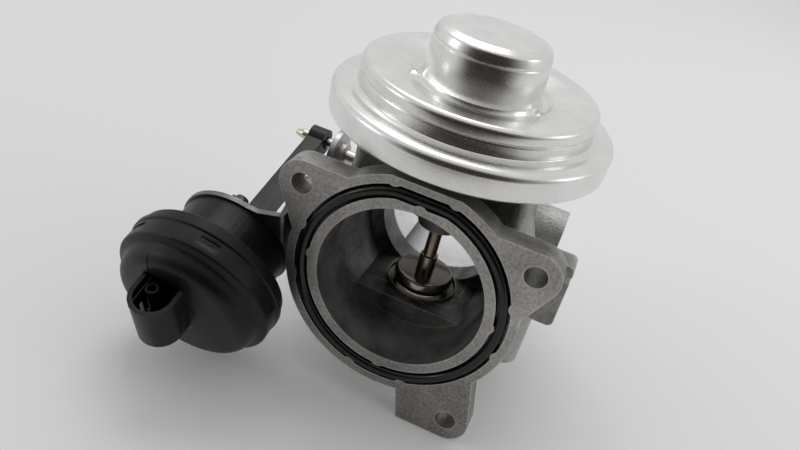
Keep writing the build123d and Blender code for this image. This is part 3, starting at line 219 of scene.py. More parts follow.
def make_edges():
    """Where the surface turns sharply: the angle between the rounded and the plain normal."""
    tree, gin, gout = group("light_edges", [("Width", F, 0.0006)], [("Mask", F)])
    bevel = node(tree, "ShaderNodeBevel", samples=4)
    tree.links.new(gin.outputs["Width"], bevel.inputs["Radius"])
    flat = node(tree, "ShaderNodeNewGeometry")
    dot = node(tree, "ShaderNodeVectorMath", operation="DOT_PRODUCT")
    link(tree, bevel, "Normal", dot, 0)
    link(tree, flat, "Normal", dot, 1)
    turned_by = maths(tree, "SUBTRACT", 1.0, dot.outputs["Value"], clamp=True)
    tree.links.new(maths(tree, "MULTIPLY", turned_by, 3.5, clamp=True), gout.inputs["Mask"])
    return tree


GRAIN, LINES, SCRATCHES, EDGES = make_grain(), make_lines(), make_scratches(), make_edges()


def use(tree, tool, **sockets):
    """An instance of one of the shared groups."""
    n = node(tree, "ShaderNodeGroup", node_tree=tool)
    for name, value in sockets.items():
        n.inputs[name].default_value = value
    return n


def mix(tree, factor, a, b):
    """Colour mix; a and b are colours or sockets."""
    n = node(tree, "ShaderNodeMix", data_type="RGBA", clamp_factor=True)
    for socket, value in ((n.inputs[0], factor), (n.inputs[6], a), (n.inputs[7], b)):
        if isinstance(value, (int, float)):
            socket.default_value = value
        elif isinstance(value, tuple):
            socket.default_value = value + (1.0,)
        else:
            tree.links.new(value, socket)
    return n.outputs[2]


def ramp(tree, value, low, high):
    """Straight-line change from 0 to 1 between low and high, clamped."""
    n = node(tree, "ShaderNodeMapRange", clamp=True, sockets={"From Min": low, "From Max": high})
    tree.links.new(value, n.inputs["Value"])
    return n.outputs["Result"]


def material(name, colour, rough, metal=0.0):
    """A Principled material; returns it with its tree, its Principled node and its Object coordinates."""
    m = bpy.data.materials.new(name)
    m.use_nodes = True
    tree = m.node_tree
    shader = tree.nodes["Principled BSDF"]
    shader.inputs["Base Color"].default_value = colour + (1.0,)
    shader.inputs["Roughness"].default_value = rough
    shader.inputs["Metallic"].default_value = metal
    coords = node(tree, "ShaderNodeTexCoord")
    return m, tree, shader, coords.outputs["Object"]


def bump(tree, shader, height, distance, strength=1.0, under=None):
    """Height into a Bump node; under is a normal that comes first."""
    n = node(tree, "ShaderNodeBump", sockets={"Strength": strength, "Distance": distance})
    tree.links.new(height, n.inputs["Height"])
    if under is not None:
        tree.links.new(under, n.inputs["Normal"])
    tree.links.new(n.outputs["Normal"], shader.inputs["Normal"])
    return n.outputs["Normal"]


# ------------------------------------------------------------------ materials
def cast_housing():
    """Cast aluminium: dark blotchy skin, planed front face, turned bores, lighter edges, tool marks by the
    seat; painted light, shade and reflection.

    Object coordinates are in metres; each mask below picks a face by its place.
    """
    m, tree, shader, here = material("cast_housing", (0.30, 0.29, 0.275), 0.5, 0.85)
    skin = use(tree, GRAIN)
    tree.links.new(here, skin.inputs["Vector"])
    cloud = node(tree, "ShaderNodeTexNoise", sockets={"Scale": 42.0, "Detail": 5.0, "Roughness": 0.68})
    tree.links.new(here, cloud.inputs["Vector"])
    xyz = node(tree, "ShaderNodeSeparateXYZ")
    tree.links.new(here, xyz.inputs[0])
    rings = use(tree, LINES, Pitch=5200.0)
    tree.links.new(here, rings.inputs["Vector"])
    about_stem = use(tree, LINES, Pitch=2500.0, Centre=(0, STEM_Y * MM, 0), Keep=(1, 1, 0), Along=(0, 0, 1))
    tree.links.new(here, about_stem.inputs["Vector"])
    marks = use(tree, SCRATCHES)
    tree.links.new(here, marks.inputs["Vector"])
    edge = use(tree, EDGES, Width=0.0008)
    y = xyz.outputs["Y"]
    radius = rings.outputs["Radius"]
    face = maths(tree, "LESS_THAN", y, FACE_END)
    in_bore = maths(tree, "LESS_THAN", radius, BORE_WALL)
    front_bore = maths(tree, "MULTIPLY", in_bore, maths(tree, "LESS_THAN", y, BORE_END))
    rear_bore = maths(tree, "MULTIPLY", maths(tree, "LESS_THAN", radius, REAR_WALL),
                      maths(tree, "GREATER_THAN", y, REAR_START))
    patch = ramp(tree, maths(tree, "MULTIPLY_ADD", cloud.outputs["Fac"], 0.6,
                             maths(tree, "MULTIPLY", skin.outputs["Blotch"], 0.4)), 0.36, 0.66)
    tone = mix(tree, patch, (0.15, 0.145, 0.135), (0.44, 0.43, 0.41))
    # painted light: the skin to the right, behind the flange, is made lighter as if lit
    painted_light_behind = maths(tree, "MULTIPLY", ramp(tree, xyz.outputs["X"], 0.026, 0.034),
                   ramp(tree, y, 0.011, 0.015))
    tone = mix(tree, maths(tree, "MULTIPLY", painted_light_behind, 0.6), tone, (0.66, 0.66, 0.655))
    tone = mix(tree, maths(tree, "MULTIPLY", skin.outputs["Pits"], 1.3), tone, (0.11, 0.105, 0.10))
    # the planed front face, with painted shade that darkens it towards the foot
    fleck = node(tree, "ShaderNodeTexNoise", sockets={"Scale": 950.0, "Detail": 4.0, "Roughness": 0.65})
    tree.links.new(here, fleck.inputs["Vector"])
    speckled = maths(tree, "MULTIPLY_ADD", ramp(tree, fleck.outputs["Fac"], 0.36, 0.64), 0.6,
                     maths(tree, "MULTIPLY", patch, 0.4))
    planed = mix(tree, speckled, (0.26, 0.245, 0.225), (0.60, 0.585, 0.555))
    shade_towards_foot = ramp(tree, maths(tree, "MULTIPLY", xyz.outputs["Z"], -1.0), -0.012, 0.040)
    planed = mix(tree, shade_towards_foot, planed, mix(tree, speckled, (0.14, 0.13, 0.12), (0.40, 0.385, 0.365)))
    tone = mix(tree, face, tone, planed)
    # the main bore
    bored = mix(tree, patch, (0.10, 0.10, 0.10), (0.42, 0.42, 0.415))
    tone = mix(tree, maths(tree, "MULTIPLY", front_bore, 0.8), tone, bored)
    # the turned rear bore, with one painted dark reflection along it that fades downwards
    turn = maths(tree, "ARCTAN2", xyz.outputs["Z"], xyz.outputs["X"])
    past = maths(tree, "GREATER_THAN", turn, DARK_REFLECTION_ANGLE)
    faded = maths(tree, "SUBTRACT", 1.0, ramp(tree, turn, DARK_REFLECTION_ANGLE, DARK_REFLECTION_ANGLE + 0.38))
    painted_reflection = maths(tree, "MULTIPLY", past, faded)
    polished_with_painted_reflection = mix(tree, painted_reflection, (0.90, 0.90, 0.91), (0.04, 0.04, 0.055))
    tone = mix(tree, rear_bore, tone, polished_with_painted_reflection)
    # bright tool marks round the pad of the seat
    off_stem = about_stem.outputs["Radius"]
    by_seat = maths(tree, "MULTIPLY", ramp(tree, off_stem, *PAD_INNER),
                    maths(tree, "SUBTRACT", 1.0, ramp(tree, off_stem, *PAD_OUTER)))
    by_seat = maths(tree, "MULTIPLY", by_seat, maths(tree, "LESS_THAN", xyz.outputs["Z"], PAD_TOP))
    by_seat = maths(tree, "MULTIPLY", by_seat, front_bore)
    cut = ramp(tree, marks.outputs["Mask"], 0.05, 0.4)
    tone = mix(tree, maths(tree, "MULTIPLY", by_seat, cut), tone, (0.92, 0.92, 0.90))
    # lighter colour along the sharp edges that the edge mask finds
    tone = mix(tree, maths(tree, "MULTIPLY", edge.outputs["Mask"], 0.8), tone, (0.84, 0.83, 0.80))
    tone = mix(tree, maths(tree, "MULTIPLY", marks.outputs["Mask"], 0.35), tone, (0.72, 0.71, 0.69))
    tree.links.new(tone, shader.inputs["Base Color"])
    rough = maths(tree, "MULTIPLY_ADD", patch, -0.12, 0.56)
    rough = maths(tree, "SUBTRACT", rough, maths(tree, "MULTIPLY", rear_bore, 0.26))
    rough = maths(tree, "SUBTRACT", rough, maths(tree, "MULTIPLY", face, 0.10))
    tree.links.new(rough, shader.inputs["Roughness"])
    turned_part = maths(tree, "ADD", rear_bore, maths(tree, "MULTIPLY", front_bore, 0.35), clamp=True)
    first = bump(tree, shader, maths(tree, "MULTIPLY", rings.outputs["Height"], turned_part), 0.00008)
    cast_part = maths(tree, "SUBTRACT", 1.0,
                      maths(tree, "ADD", turned_part, maths(tree, "MULTIPLY", face, 0.45)), clamp=True)
    bump(tree, shader, maths(tree, "MULTIPLY", skin.outputs["Height"], cast_part), 0.00030, under=first)
    return m


def bright_metal(name, low, high, rough, pitch=4200.0, centre=(0, STEM_Y * MM, 0), keep=(1, 1, 0),
                 along=(0, 0, 1), depth=0.00002, marks_by=0.3, size=1.0):
    """Plated or turned metal: fine lines about an axis, cloudy tone, a few scratches."""
    m, tree, shader, here = material(name, low, rough, 1.0)
    rings = use(tree, LINES, Pitch=pitch, Centre=centre, Keep=keep, Along=along)
    tree.links.new(here, rings.inputs["Vector"])
    skin = use(tree, GRAIN, Size=size)
    tree.links.new(here, skin.inputs["Vector"])
    marks = use(tree, SCRATCHES)
    tree.links.new(here, marks.inputs["Vector"])
    tone = mix(tree, ramp(tree, skin.outputs["Blotch"], 0.3, 0.7), low, high)
    tone = mix(tree, maths(tree, "MULTIPLY", marks.outputs["Mask"], marks_by), tone, high)
    tree.links.new(tone, shader.inputs["Base Color"])
    spread = maths(tree, "MULTIPLY_ADD", rings.outputs["Height"], 0.12, rough - 0.06)
    spread = maths(tree, "MULTIPLY_ADD", marks.outputs["Mask"], 0.12, spread)
    tree.links.new(spread, shader.inputs["Roughness"])
    bump(tree, shader, rings.outputs["Height"], depth)
    return m


def moulded(name, low, high, rough, grain=0.00006, size=1.4, coat=0.0, shine=0.5):
    """Rubber or plastic: near-black, with a fine moulded skin and a little dust."""
    m, tree, shader, here = material(name, low, rough, 0.0)
    shader.inputs["Coat Weight"].default_value = coat
    shader.inputs["Specular IOR Level"].default_value = shine
    shader.inputs["Coat Roughness"].default_value = 0.25
    skin = use(tree, GRAIN, Size=size)
    tree.links.new(here, skin.inputs["Vector"])
    tone = mix(tree, ramp(tree, skin.outputs["Blotch"], 0.35, 0.75), low, high)
    tree.links.new(tone, shader.inputs["Base Color"])
    spread = maths(tree, "MULTIPLY_ADD", skin.outputs["Blotch"], 0.22, rough - 0.11)
    tree.links.new(spread, shader.inputs["Roughness"])
    bump(tree, shader, skin.outputs["Height"], grain)
    return m


flap_axis = dict(centre=(0, FLAP_Y * MM, 0), keep=(0, 1, 1), along=(1, 0, 0))
duct_axis = dict(centre=(0, 0, 0), keep=(1, 0, 1), along=(0, 1, 0))
MATS = {
    "cast_housing": cast_housing(),
    "can_plated": bright_metal("can_plated", (0.74, 0.735, 0.72), (0.84, 0.835, 0.82), 0.245, pitch=2600.0,
                               depth=0.000012, marks_by=0.2),
    "seat_steel": bright_metal("seat_steel", (0.27, 0.24, 0.21), (0.40, 0.36, 0.31), 0.34),
    "valve_bronze_tint": bright_metal("valve_bronze_tint", (0.34, 0.27, 0.21), (0.50, 0.41, 0.33), 0.24),
    "valve_disc_steel": bright_metal("valve_disc_steel", (0.30, 0.275, 0.235), (0.40, 0.37, 0.32), 0.15,
                                     depth=0.000006, marks_by=0.1),
    "bush_bronze": bright_metal("bush_bronze", (0.50, 0.36, 0.20), (0.60, 0.45, 0.27), 0.35, **flap_axis),
    "plate_steel": bright_metal("plate_steel", (0.50, 0.50, 0.52), (0.6, 0.6, 0.62), 0.4),
    "spring_steel": bright_metal("spring_steel", (0.42, 0.42, 0.44), (0.55, 0.55, 0.57), 0.35),
    "fastener_steel": bright_metal("fastener_steel", (0.50, 0.50, 0.51), (0.66, 0.66, 0.67), 0.34,
                                   **flap_axis),
    "bracket_zinc": bright_metal("bracket_zinc", (0.13, 0.13, 0.14), (0.24, 0.24, 0.25), 0.42, depth=0.00001,
                                 **flap_axis),
    "shaft_steel": bright_metal("shaft_steel", (0.60, 0.54, 0.44), (0.74, 0.69, 0.60), 0.26, **flap_axis),
    "flap_steel": bright_metal("flap_steel", (0.42, 0.42, 0.42), (0.55, 0.55, 0.55), 0.38, **duct_axis),
    "stud_steel": bright_metal("stud_steel", (0.06, 0.06, 0.062), (0.12, 0.12, 0.125), 0.45, **flap_axis),
    "crank_steel": bright_metal("crank_steel", (0.40, 0.40, 0.41), (0.56, 0.56, 0.57), 0.40, **flap_axis),
    "rod_steel": moulded("rod_steel", (0.008, 0.008, 0.0095), (0.017, 0.017, 0.019), 0.36, grain=0.00004,
                         shine=0.3),
    "seal_rubber": moulded("seal_rubber", (0.004, 0.004, 0.005), (0.009, 0.009, 0.010), 0.22, grain=0.00001,
                           coat=0.0, shine=0.42),
    "wiper_rubber": moulded("wiper_rubber", (0.02, 0.02, 0.02), (0.035, 0.035, 0.035), 0.5),
    "diaphragm_rubber": moulded("diaphragm_rubber", (0.02, 0.02, 0.022), (0.035, 0.035, 0.038), 0.6),
    "gasket_fibre": moulded("gasket_fibre", (0.05, 0.05, 0.05), (0.09, 0.09, 0.09), 0.8, grain=0.0001),
    "actuator_plastic": moulded("actuator_plastic", (0.0045, 0.0045, 0.0055), (0.010, 0.010, 0.012), 0.38,
                                grain=0.00007, shine=0.28),
}


# ------------------------------------------------------------------ geometry helpers
def finish_mesh(obj, slot_name, body, replaced=(), angle=32.0):
    """Material, smooth shading with sharp edges over the angle, and the CAD body it rides on."""
    obj.data.materials.clear()
    obj.data.materials.append(MATS[slot_name])
    obj.data.shade_smooth()
    obj.data.set_sharp_from_angle(angle=math.radians(angle))
    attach(obj, body)
    if replaced:
        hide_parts(*replaced)


def from_grid(name, points, loop_u=True, loop_v=False):
    """Mesh from a grid of points (rows u, columns v, 3), in mm; each direction may close on itself."""
    rows, cols = points.shape[:2]
    u = np.arange(rows if loop_u else rows - 1)
    v = np.arange(cols if loop_v else cols - 1)
    a, b = np.meshgrid(u, v, indexing="ij")
    a2, b2 = (a + 1) % rows, (b + 1) % cols
    quads = np.stack([a * cols + b, a * cols + b2, a2 * cols + b2, a2 * cols + b], -1).reshape(-1, 4)
    mesh = bpy.data.meshes.new(name)
    mesh.from_pydata((points.reshape(-1, 3) * MM).tolist(), [], quads.tolist())
    mesh.validate()
    obj = bpy.data.objects.new(name, mesh)
    bpy.context.scene.collection.objects.link(obj)
    work = bmesh.new()
    work.from_mesh(mesh)
    bmesh.ops.remove_doubles(work, verts=work.verts, dist=WELD)
    bmesh.ops.recalc_face_normals(work, faces=work.faces)
    work.to_mesh(mesh)
    work.free()
    return obj


def rounded(corners, closed=True, step=0.35):
    """Outline through corners (x, y, radius), each an arc tangent to both its sides.

    An arc has a point about every step mm. Its radius shrinks where a side is too short for it.
    """
    pts = np.array([c[:2] for c in corners], float)
    radii = np.array([c[2] for c in corners], float)
    count = len(pts)
    out = []
    for i in range(count):
        p = pts[i]
        if radii[i] <= 0 or (not closed and i in (0, count - 1)):
            out.append(p[None])
            continue
        a, b = pts[i - 1] - p, pts[(i + 1) % count] - p
        la, lb = np.linalg.norm(a), np.linalg.norm(b)
        a, b = a / la, b / lb
        half = math.acos(max(-1.0, min(1.0, float(a @ b)))) / 2
        if half > math.pi / 2 - 0.01:
            out.append(p[None])
            continue
        cut = min(radii[i] / math.tan(half), 0.49 * la, 0.49 * lb)
        r = cut * math.tan(half)
        middle = p + (a + b) / np.linalg.norm(a + b) * (r / math.sin(half))
        s, e = p + a * cut - middle, p + b * cut - middle
        t0, t1 = math.atan2(s[1], s[0]), math.atan2(e[1], e[0])
        turn = (t1 - t0 + math.pi) % (2 * math.pi) - math.pi
        n = max(3, int(abs(turn) * r / step) + 3)
        t = t0 + turn * np.linspace(0, 1, n)
        out.append(middle + r * np.c_[np.cos(t), np.sin(t)])
    return np.concatenate(out)


def turned(name, corners, origin, axis, across, segments=128):
    """Surface of revolution: the closed outline (radius, distance along axis) swept once round the axis."""
    outline = rounded(corners)
    third = np.cross(axis, across)
    turn = np.linspace(0, 2 * math.pi, segments, endpoint=False)[:, None, None]
    radial = np.cos(turn) * across + np.sin(turn) * third
    points = origin + outline[None, :, :1] * radial + outline[None, :, 1:] * axis
    return from_grid(name, points, loop_u=True, loop_v=True)


def softened(nodes_, slot_name, body, width=0.4, angle=40.0, segments=2, look=None, join=True):
    """Copies of CAD nodes with welded vertices, rounded edges and, with join, flat faces joined up.

    With look, the copy keeps its slot but wears that other material.
    """
    for n in nodes_:
        mesh = frame["nodes"][n].data.copy()
        mesh.name = n + "_finish"
        obj = bpy.data.objects.new(n + "_finish", mesh)
        bpy.context.scene.collection.objects.link(obj)
        work = bmesh.new()
        work.from_mesh(mesh)
        bmesh.ops.remove_doubles(work, verts=work.verts, dist=WELD)
        if join:
            bmesh.ops.dissolve_limit(work, angle_limit=math.radians(1.0), verts=work.verts, edges=work.edges)
        bmesh.ops.recalc_face_normals(work, faces=work.faces)
        work.to_mesh(mesh)
        work.free()
        finish_mesh(obj, slot_name, body, (n,), angle=28.0)
        if look:
            mesh.materials[0] = MATS[look]
        if width:
            soft = obj.modifiers.new("edges", "BEVEL")
            soft.width = width * MM
            soft.segments = segments
            soft.limit_method = "ANGLE"
            soft.angle_limit = math.radians(angle)
            soft.harden_normals = True
            soft.miter_outer = "MITER_ARC"


# ------------------------------------------------------------------ CAD pieces with softened edges
softened(["housing"], "cast_housing", "body", width=0.45, angle=42.0)
softened(["can_lower_shell"], "can_plated", "body", width=0.15)
softened(["can_gasket"], "gasket_fibre", "body", width=0)
softened(["can_screws", "bracket_bolts", "shaft_end_cap"], "fastener_steel", "body", width=0.25)
softened(["actuator_studs"], "fastener_steel", "body", width=0.25, look="stud_steel")
softened(["bracket"], "bracket_zinc", "body", width=0.3)
softened(["actuator_front_cover", "actuator_rear_housing", "actuator_nipple"], "actuator_plastic", "body",
         width=0.35, angle=50.0, join=False)
softened(["crank_plate"], "crank_steel", "flap", width=0.3)
softened(["drive_rod"], "rod_steel", "rod", width=0.4)
softened(["flap_plate"], "flap_steel", "flap", width=0.25)
softened(["flap_screws"], "fastener_steel", "flap", width=0.2)

# ------------------------------------------------------------------ vacuum can
can_outline = [
    (0.01, 75.8, 0), (15.2, 75.8, 1.0), (18.0, 74.6, 1.6), (18.9, 72.0, 0.8), (18.95, 71.2, 0.2),
    (18.7, 71.0, 0.1), (18.95, 70.7, 0.2), (19.2, 66.0, 3.0), (19.3, 58.6, 1.2), (20.3, 57.1, 0.8),
    (22.0, 57.1, 0.7), (23.6, 58.9, 1.3), (31.2, 61.0, 12.0), (38.4, 60.9, 2.9), (38.5, 57.0, 0.8),
    (38.2, 56.5, 0.3), (38.5, 56.0, 0.6), (38.55, 52.6, 0.7), (40.4, 51.9, 0.9), (42.5, 52.15, 2.0),
    (46.4, 51.3, 3.4), (46.15, 43.4, 0.5), (45.6, 42.75, 0.35), (43.6, 42.8, 0.2), (43.55, 43.75, 0.1),
    (45.05, 43.8, 0.3), (45.3, 50.3, 2.4), (41.5, 51.05, 0.8), (39.4, 51.2, 0.8), (37.5, 52.2, 0.5),
    (37.4, 59.9, 1.6), (31.1, 60.0, 8.0), (23.9, 57.9, 0.9), (22.2, 56.2, 0.6), (20.0, 56.2, 0.6),
    (18.3, 58.4, 0.9), (18.1, 71.8, 0.8), (17.2, 74.0, 0.9), (15.0, 74.8, 0.6), (0.01, 74.8, 0),
]
can_top = turned("can_top", can_outline, STEM_O, UP, RIGHT, segments=360)


def stamp_crimps(obj, places, reach=CRIMP_REACH, height=CRIMP_HEIGHT):
    """Folds stamped in the well: at each place a bell-shaped hill with a ripple across it lifts the sheet.

    The hill is height times exp(-(d / reach)^2), where d is the distance from its place seen from above,
    times a ripple between 0.3 and 1. Sheet above CRIMP_TOP stays, and sheet CRIMP_FADE or more below it
    takes the whole lift, so the domed cap is left alone.
    """
    data = np.empty(len(obj.data.vertices) * 3)
    obj.data.vertices.foreach_get("co", data)
    at = data.reshape(-1, 3) / MM
    low = np.clip((CRIMP_TOP - at[:, 2]) / CRIMP_FADE, 0, 1)
    for x, y in places:
        dx, dy = at[:, 0] - x, at[:, 1] - y
        hill = np.exp(-(dx ** 2 + dy ** 2) / reach ** 2)
        at[:, 2] += low * hill * height * (0.65 + 0.35 * np.cos(3.2 * dx + 1.5 * dy))
    obj.data.vertices.foreach_set("co", (at * MM).ravel())
    obj.data.update()


stamp_crimps(can_top, ((-20.6, 32.6), (19.9, 34.6)))
finish_mesh(can_top, "can_plated", "body", ("can_upper_shell",), angle=50.0)

# ------------------------------------------------------------------ valve stem, disc and seat
seat = turned("seat_ring", [(8.6, -27.0, 0), (13.2, -27.0, 0), (13.2, -19.1, 0.2), (13.0, -18.85, 0.15),
                            (12.7, -18.85, 0.15), (12.5, -19.1, 0.15), (12.4, -20.3, 0.5), (10.9, -21.2, 0.5),
                            (10.2, -21.4, 0.2), (8.6, -23.8, 0.2)],
              STEM_O, UP, RIGHT, segments=128)
finish_mesh(seat, "seat_steel", "body", ("valve_seat_ring",))
disc = turned("disc", [(0.01, -14.8, 0), (3.6, -14.8, 0.3), (10.0, -14.8, 0.2), (10.4, -15.2, 0.25),
                       (10.8, -17.6, 0.6), (10.3, -19.2, 0.1), (8.0, -21.6, 0.2), (0.01, -21.6, 0)],
              STEM_O, UP, RIGHT, segments=96)
finish_mesh(disc, "valve_disc_steel", "valve", ("valve_disc",))
stem = turned("stem", [(0.01, -15.1, 0), (3.25, -15.1, 0), (3.25, -8.0, 0.12), (3.1, -7.85, 0.08),
                       (2.4, -7.8, 0.1), (2.4, 50.8, 0.2), (2.2, 51.0, 0), (0.01, 51.0, 0)],
              STEM_O, UP, RIGHT, segments=64)
finish_mesh(stem, "valve_bronze_tint", "valve", ("valve_stem",))

# ------------------------------------------------------------------ seam line of the actuator's cover
def tube(name, path, radius, sides=8):
    """Round bar along a path (n, 3) in mm: a circle in each point, square to the path's direction there."""
    ahead = np.gradient(path, axis=0)
    ahead /= np.linalg.norm(ahead, axis=1)[:, None]
    first = np.cross(ahead, np.array([0.31, 0.2, 0.93]))
    first /= np.linalg.norm(first, axis=1)[:, None]
    second = np.cross(ahead, first)
    turn = np.linspace(0, 2 * math.pi, sides, endpoint=False)
    ring = np.cos(turn)[None, :, None] * first[:, None] + np.sin(turn)[None, :, None] * second[:, None]
    return from_grid(name, path[:, None] + radius * ring, loop_u=False, loop_v=True)


def cover_seam(start, stop, count=40):
    """Raised mould line: points between two radii of the cover's front, found by rays along its axis."""
    mesh = frame["nodes"]["actuator_front_cover"].data
    cover = BVHTree.FromPolygons([v.co for v in mesh.vertices], [tuple(p.vertices) for p in mesh.polygons])
    reach = np.linspace(0, 1, count)[:, None]
    aside = start[0] + (stop[0] - start[0]) * reach
    upward = start[1] + (stop[1] - start[1]) * reach
    places = ACT_O + RIGHT * aside + ACT_V * upward
    path = []
    for place in places:
        origin = Vector((place + ACT_D * RAY_START) * MM)
        spot = cover.ray_cast(origin, Vector(-ACT_D))[0]
        if spot is not None:
            path.append(np.array(spot) / MM + ACT_D * SEAM_RISE)
    seam = tube("cover_seam", np.array(path), SEAM_RADIUS)
    finish_mesh(seam, "actuator_plastic", "body")


cover_seam((-9.2, 21.6), (-7.4, 13.4))

# ------------------------------------------------------------------ face seal
def wall_beyond(angle, inner, gap):
    """Distance from the bore axis to a wall of the seal track, for every angle, in mm.

    A ray from the axis meets a circle of radius q, whose centre is c from the axis, at
    c cos d -/+ sqrt(q^2 - c^2 sin^2 d), where d is the angle between the ray and the centre.
    The track's wall is a circle with a flat at the top; each nub is such a small circle on it.
    """
    flat = (TRACK_CORE if inner else TRACK_FLAT) + (gap if inner else -gap)
    ring = TRACK_IN + gap if inner else TRACK_OUT - gap
    rise = np.maximum(np.sin(angle), 1e-6)
    wall = np.minimum(ring, flat / rise)
    if inner:
        nubs = [(a, TRACK_IN - NUB + NUB_BITE) for a in (0, 180, 270)] + [(90, TRACK_CORE - NUB + NUB_BITE)]
    else:
        nubs = [(a + lean, TRACK_OUT + NUB - NUB_BITE)
                for a in (0, 90, 180, 270) for lean in (-NUB_LEAN, NUB_LEAN)]
    for at, centre in nubs:
        d = angle - math.radians(at)
        under = (NUB + gap) ** 2 - (centre * np.sin(d)) ** 2
        hit = (under > 0) & (np.cos(d) > 0)
        root = np.sqrt(np.maximum(under, 0))
        met = centre * np.cos(d) + (root if inner else -root)
        wall = np.where(hit, np.maximum(wall, met) if inner else np.minimum(wall, met), wall)
    return wall


def eased(values, reach):
    """Mean of each value with its neighbours round the ring, weighted by a raised cosine."""
    steps = np.arange(-reach, reach + 1)
    weight = 1 + np.cos(np.pi * steps / (reach + 1))
    return sum(w * np.roll(values, k) for k, w in zip(steps, weight)) / weight.sum()


def face_seal():
    """Seal: one rounded bead along the middle of its track, eased through the flat and clear of every nub.

    The middle is half way between the two plain walls, smoothed over a few degrees. The bead is as wide
    as the room between facing nubs, and it is pressed in further wherever a wall would cut into it.
    """
    angle = np.linspace(0, 2 * math.pi, 1440, endpoint=False)
    rise = np.maximum(np.sin(angle), 1e-6)
    ring, flat = (TRACK_IN + TRACK_OUT) / 2, (TRACK_CORE + TRACK_FLAT) / 2
    middle = eased(np.minimum(ring, flat / rise), 44)
    outer = np.minimum(middle + BEAD_HALF, eased(wall_beyond(angle, False, BEAD_CLEAR), 3))
    inner = np.maximum(middle - BEAD_HALF, eased(wall_beyond(angle, True, BEAD_CLEAR), 3))
    bead = rounded([(0, -0.86, 1.35), (BEAD_WIDE, -0.86, 1.35), (BEAD_WIDE, 3.3, 0.3), (0, 3.3, 0.3)],
                   step=0.15)
    share, y = bead[:, 0] / BEAD_WIDE, bead[:, 1]
    radius = inner[:, None] + (outer - inner)[:, None] * share[None]
    t = angle[:, None]
    points = np.stack([radius * np.cos(t), np.broadcast_to(y, radius.shape), radius * np.sin(t)], -1)
    seal = from_grid("face_seal", points, loop_u=True, loop_v=True)
    finish_mesh(seal, "seal_rubber", "body", ("flange_seal",), angle=60.0)


face_seal()

# ------------------------------------------------------------------ remaining CAD nodes keep their shape
for entry in frame["record"]["subparts"]:
    piece = frame["nodes"][entry["node"]]
    piece.data.materials.clear()
    piece.data.materials.append(MATS[entry["material_slot"]])

# ------------------------------------------------------------------ floor, light, camera
def stage_plane():
    """Table: one plane just under the part that ends at TABLE_FRONT; painted light makes it lighter to the
    right and rear.
    """
    mesh = bpy.data.meshes.new("table")
    s, z = TABLE_SIZE, cad_low[2] - TABLE_DROP
    mesh.from_pydata([(-s, TABLE_FRONT, z), (s, TABLE_FRONT, z), (s, s, z), (-s, s, z)], [], [(0, 1, 2, 3)])
    table = bpy.data.objects.new("table", mesh)
    bpy.context.scene.collection.objects.link(table)
    m, tree, shader, here = material("table", (0.7, 0.7, 0.7), 0.55, 0.0)
    shader.inputs["Specular IOR Level"].default_value = 0.25
    xyz = node(tree, "ShaderNodeSeparateXYZ")
    tree.links.new(here, xyz.inputs[0])
    # painted light: the floor's colour grows lighter to the right and rear
    across = ramp(tree, maths(tree, "MULTIPLY_ADD", xyz.outputs["Y"], 0.35, xyz.outputs["X"]), -0.10, 0.45)
    tree.links.new(mix(tree, across, (0.71, 0.71, 0.71), (0.83, 0.83, 0.83)), shader.inputs["Base Color"])
    seen = node(tree, "ShaderNodeLightPath")
    direct = maths(tree, "MAXIMUM", seen.outputs["Is Camera Ray"], seen.outputs["Is Glossy Ray"])
    tree.links.new(maths(tree, "MULTIPLY", direct, TABLE_GLOW), shader.inputs["Emission Strength"])
    shader.inputs["Emission Color"].default_value = (1.0, 0.995, 0.985, 1.0)
    mesh.materials.append(m)


stage_plane()


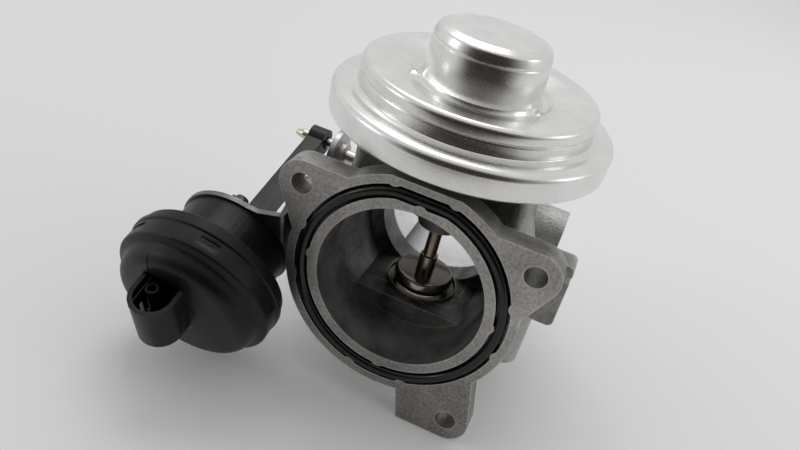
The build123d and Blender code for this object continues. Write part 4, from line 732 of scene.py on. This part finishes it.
def room_light():
    """White room with a dark patch in front, where the photographer stands, and a grey one to its right."""
    world = bpy.data.worlds.new("room")
    bpy.context.scene.world = world
    world.use_nodes = True
    sky = world.node_tree
    back = sky.nodes["Background"]
    back.inputs["Strength"].default_value = ROOM_LIGHT
    way = node(sky, "ShaderNodeTexCoord")
    toward = node(sky, "ShaderNodeVectorMath", operation="DOT_PRODUCT")
    toward.inputs[1].default_value = (0.18, -0.97, 0.16)
    link(sky, way, "Generated", toward, 0)
    shade = ramp(sky, toward.outputs["Value"], 0.46, 0.78)
    aside = node(sky, "ShaderNodeVectorMath", operation="DOT_PRODUCT")
    aside.inputs[1].default_value = (0.78, -0.60, 0.14)
    link(sky, way, "Generated", aside, 0)
    grey = maths(sky, "MULTIPLY", ramp(sky, aside.outputs["Value"], 0.70, 0.96), 0.7)
    room = mix(sky, grey, (0.92, 0.92, 0.925), (0.20, 0.19, 0.185))
    room = mix(sky, shade, room, (0.040, 0.030, 0.025))
    seen = node(sky, "ShaderNodeLightPath")
    room = mix(sky, seen.outputs["Is Camera Ray"], room, (0.90, 0.90, 0.905))
    sky.links.new(room, back.inputs["Color"])


room_light()


def softbox(name, place, aim, size, power, colour=(1, 1, 1)):
    """A rectangular area lamp at a place, turned towards a point."""
    lamp = bpy.data.lights.new(name, "AREA")
    lamp.shape = "RECTANGLE"
    lamp.size, lamp.size_y = size
    lamp.energy = power
    lamp.color = colour
    obj = bpy.data.objects.new(name, lamp)
    bpy.context.scene.collection.objects.link(obj)
    toward = (Vector(aim) - Vector(place)).normalized()
    facing = toward.to_track_quat("-Z", "Y").to_matrix().to_4x4()
    obj.matrix_world = Matrix.Translation(Vector(place)) @ facing


softbox("ceiling", (-0.25, 0.45, 0.9), (0, 0.03, 0), (0.6, 0.45), 2.2, (1.0, 0.99, 0.97))
softbox("left_window", (-0.86, -0.36, 0.36), (0, 0, 0), (0.17, 0.17), 0.55, (0.98, 0.99, 1.0))
softbox("right_window", (0.95, 0.25, 0.5), (0, 0, 0), (0.35, 0.3), 0.5, (1.0, 0.99, 0.98))


def photo_camera():
    """Camera solved from the photograph: its place, its axes and its lens."""
    camera = bpy.data.cameras.new("camera")
    camera.sensor_width = SENSOR_WIDTH
    camera.lens = LENS
    camera.clip_start = 0.01
    camera.clip_end = 20.0
    eye = bpy.data.objects.new("camera", camera)
    bpy.context.scene.collection.objects.link(eye)
    turn = Matrix((CAM_RIGHT, CAM_UP, CAM_RIGHT.cross(CAM_UP))).transposed().to_4x4()
    eye.matrix_world = Matrix.Translation(CAM_PLACE) @ turn
    bpy.context.scene.camera = eye
    bpy.context.scene.view_settings.view_transform = "Standard"


photo_camera()
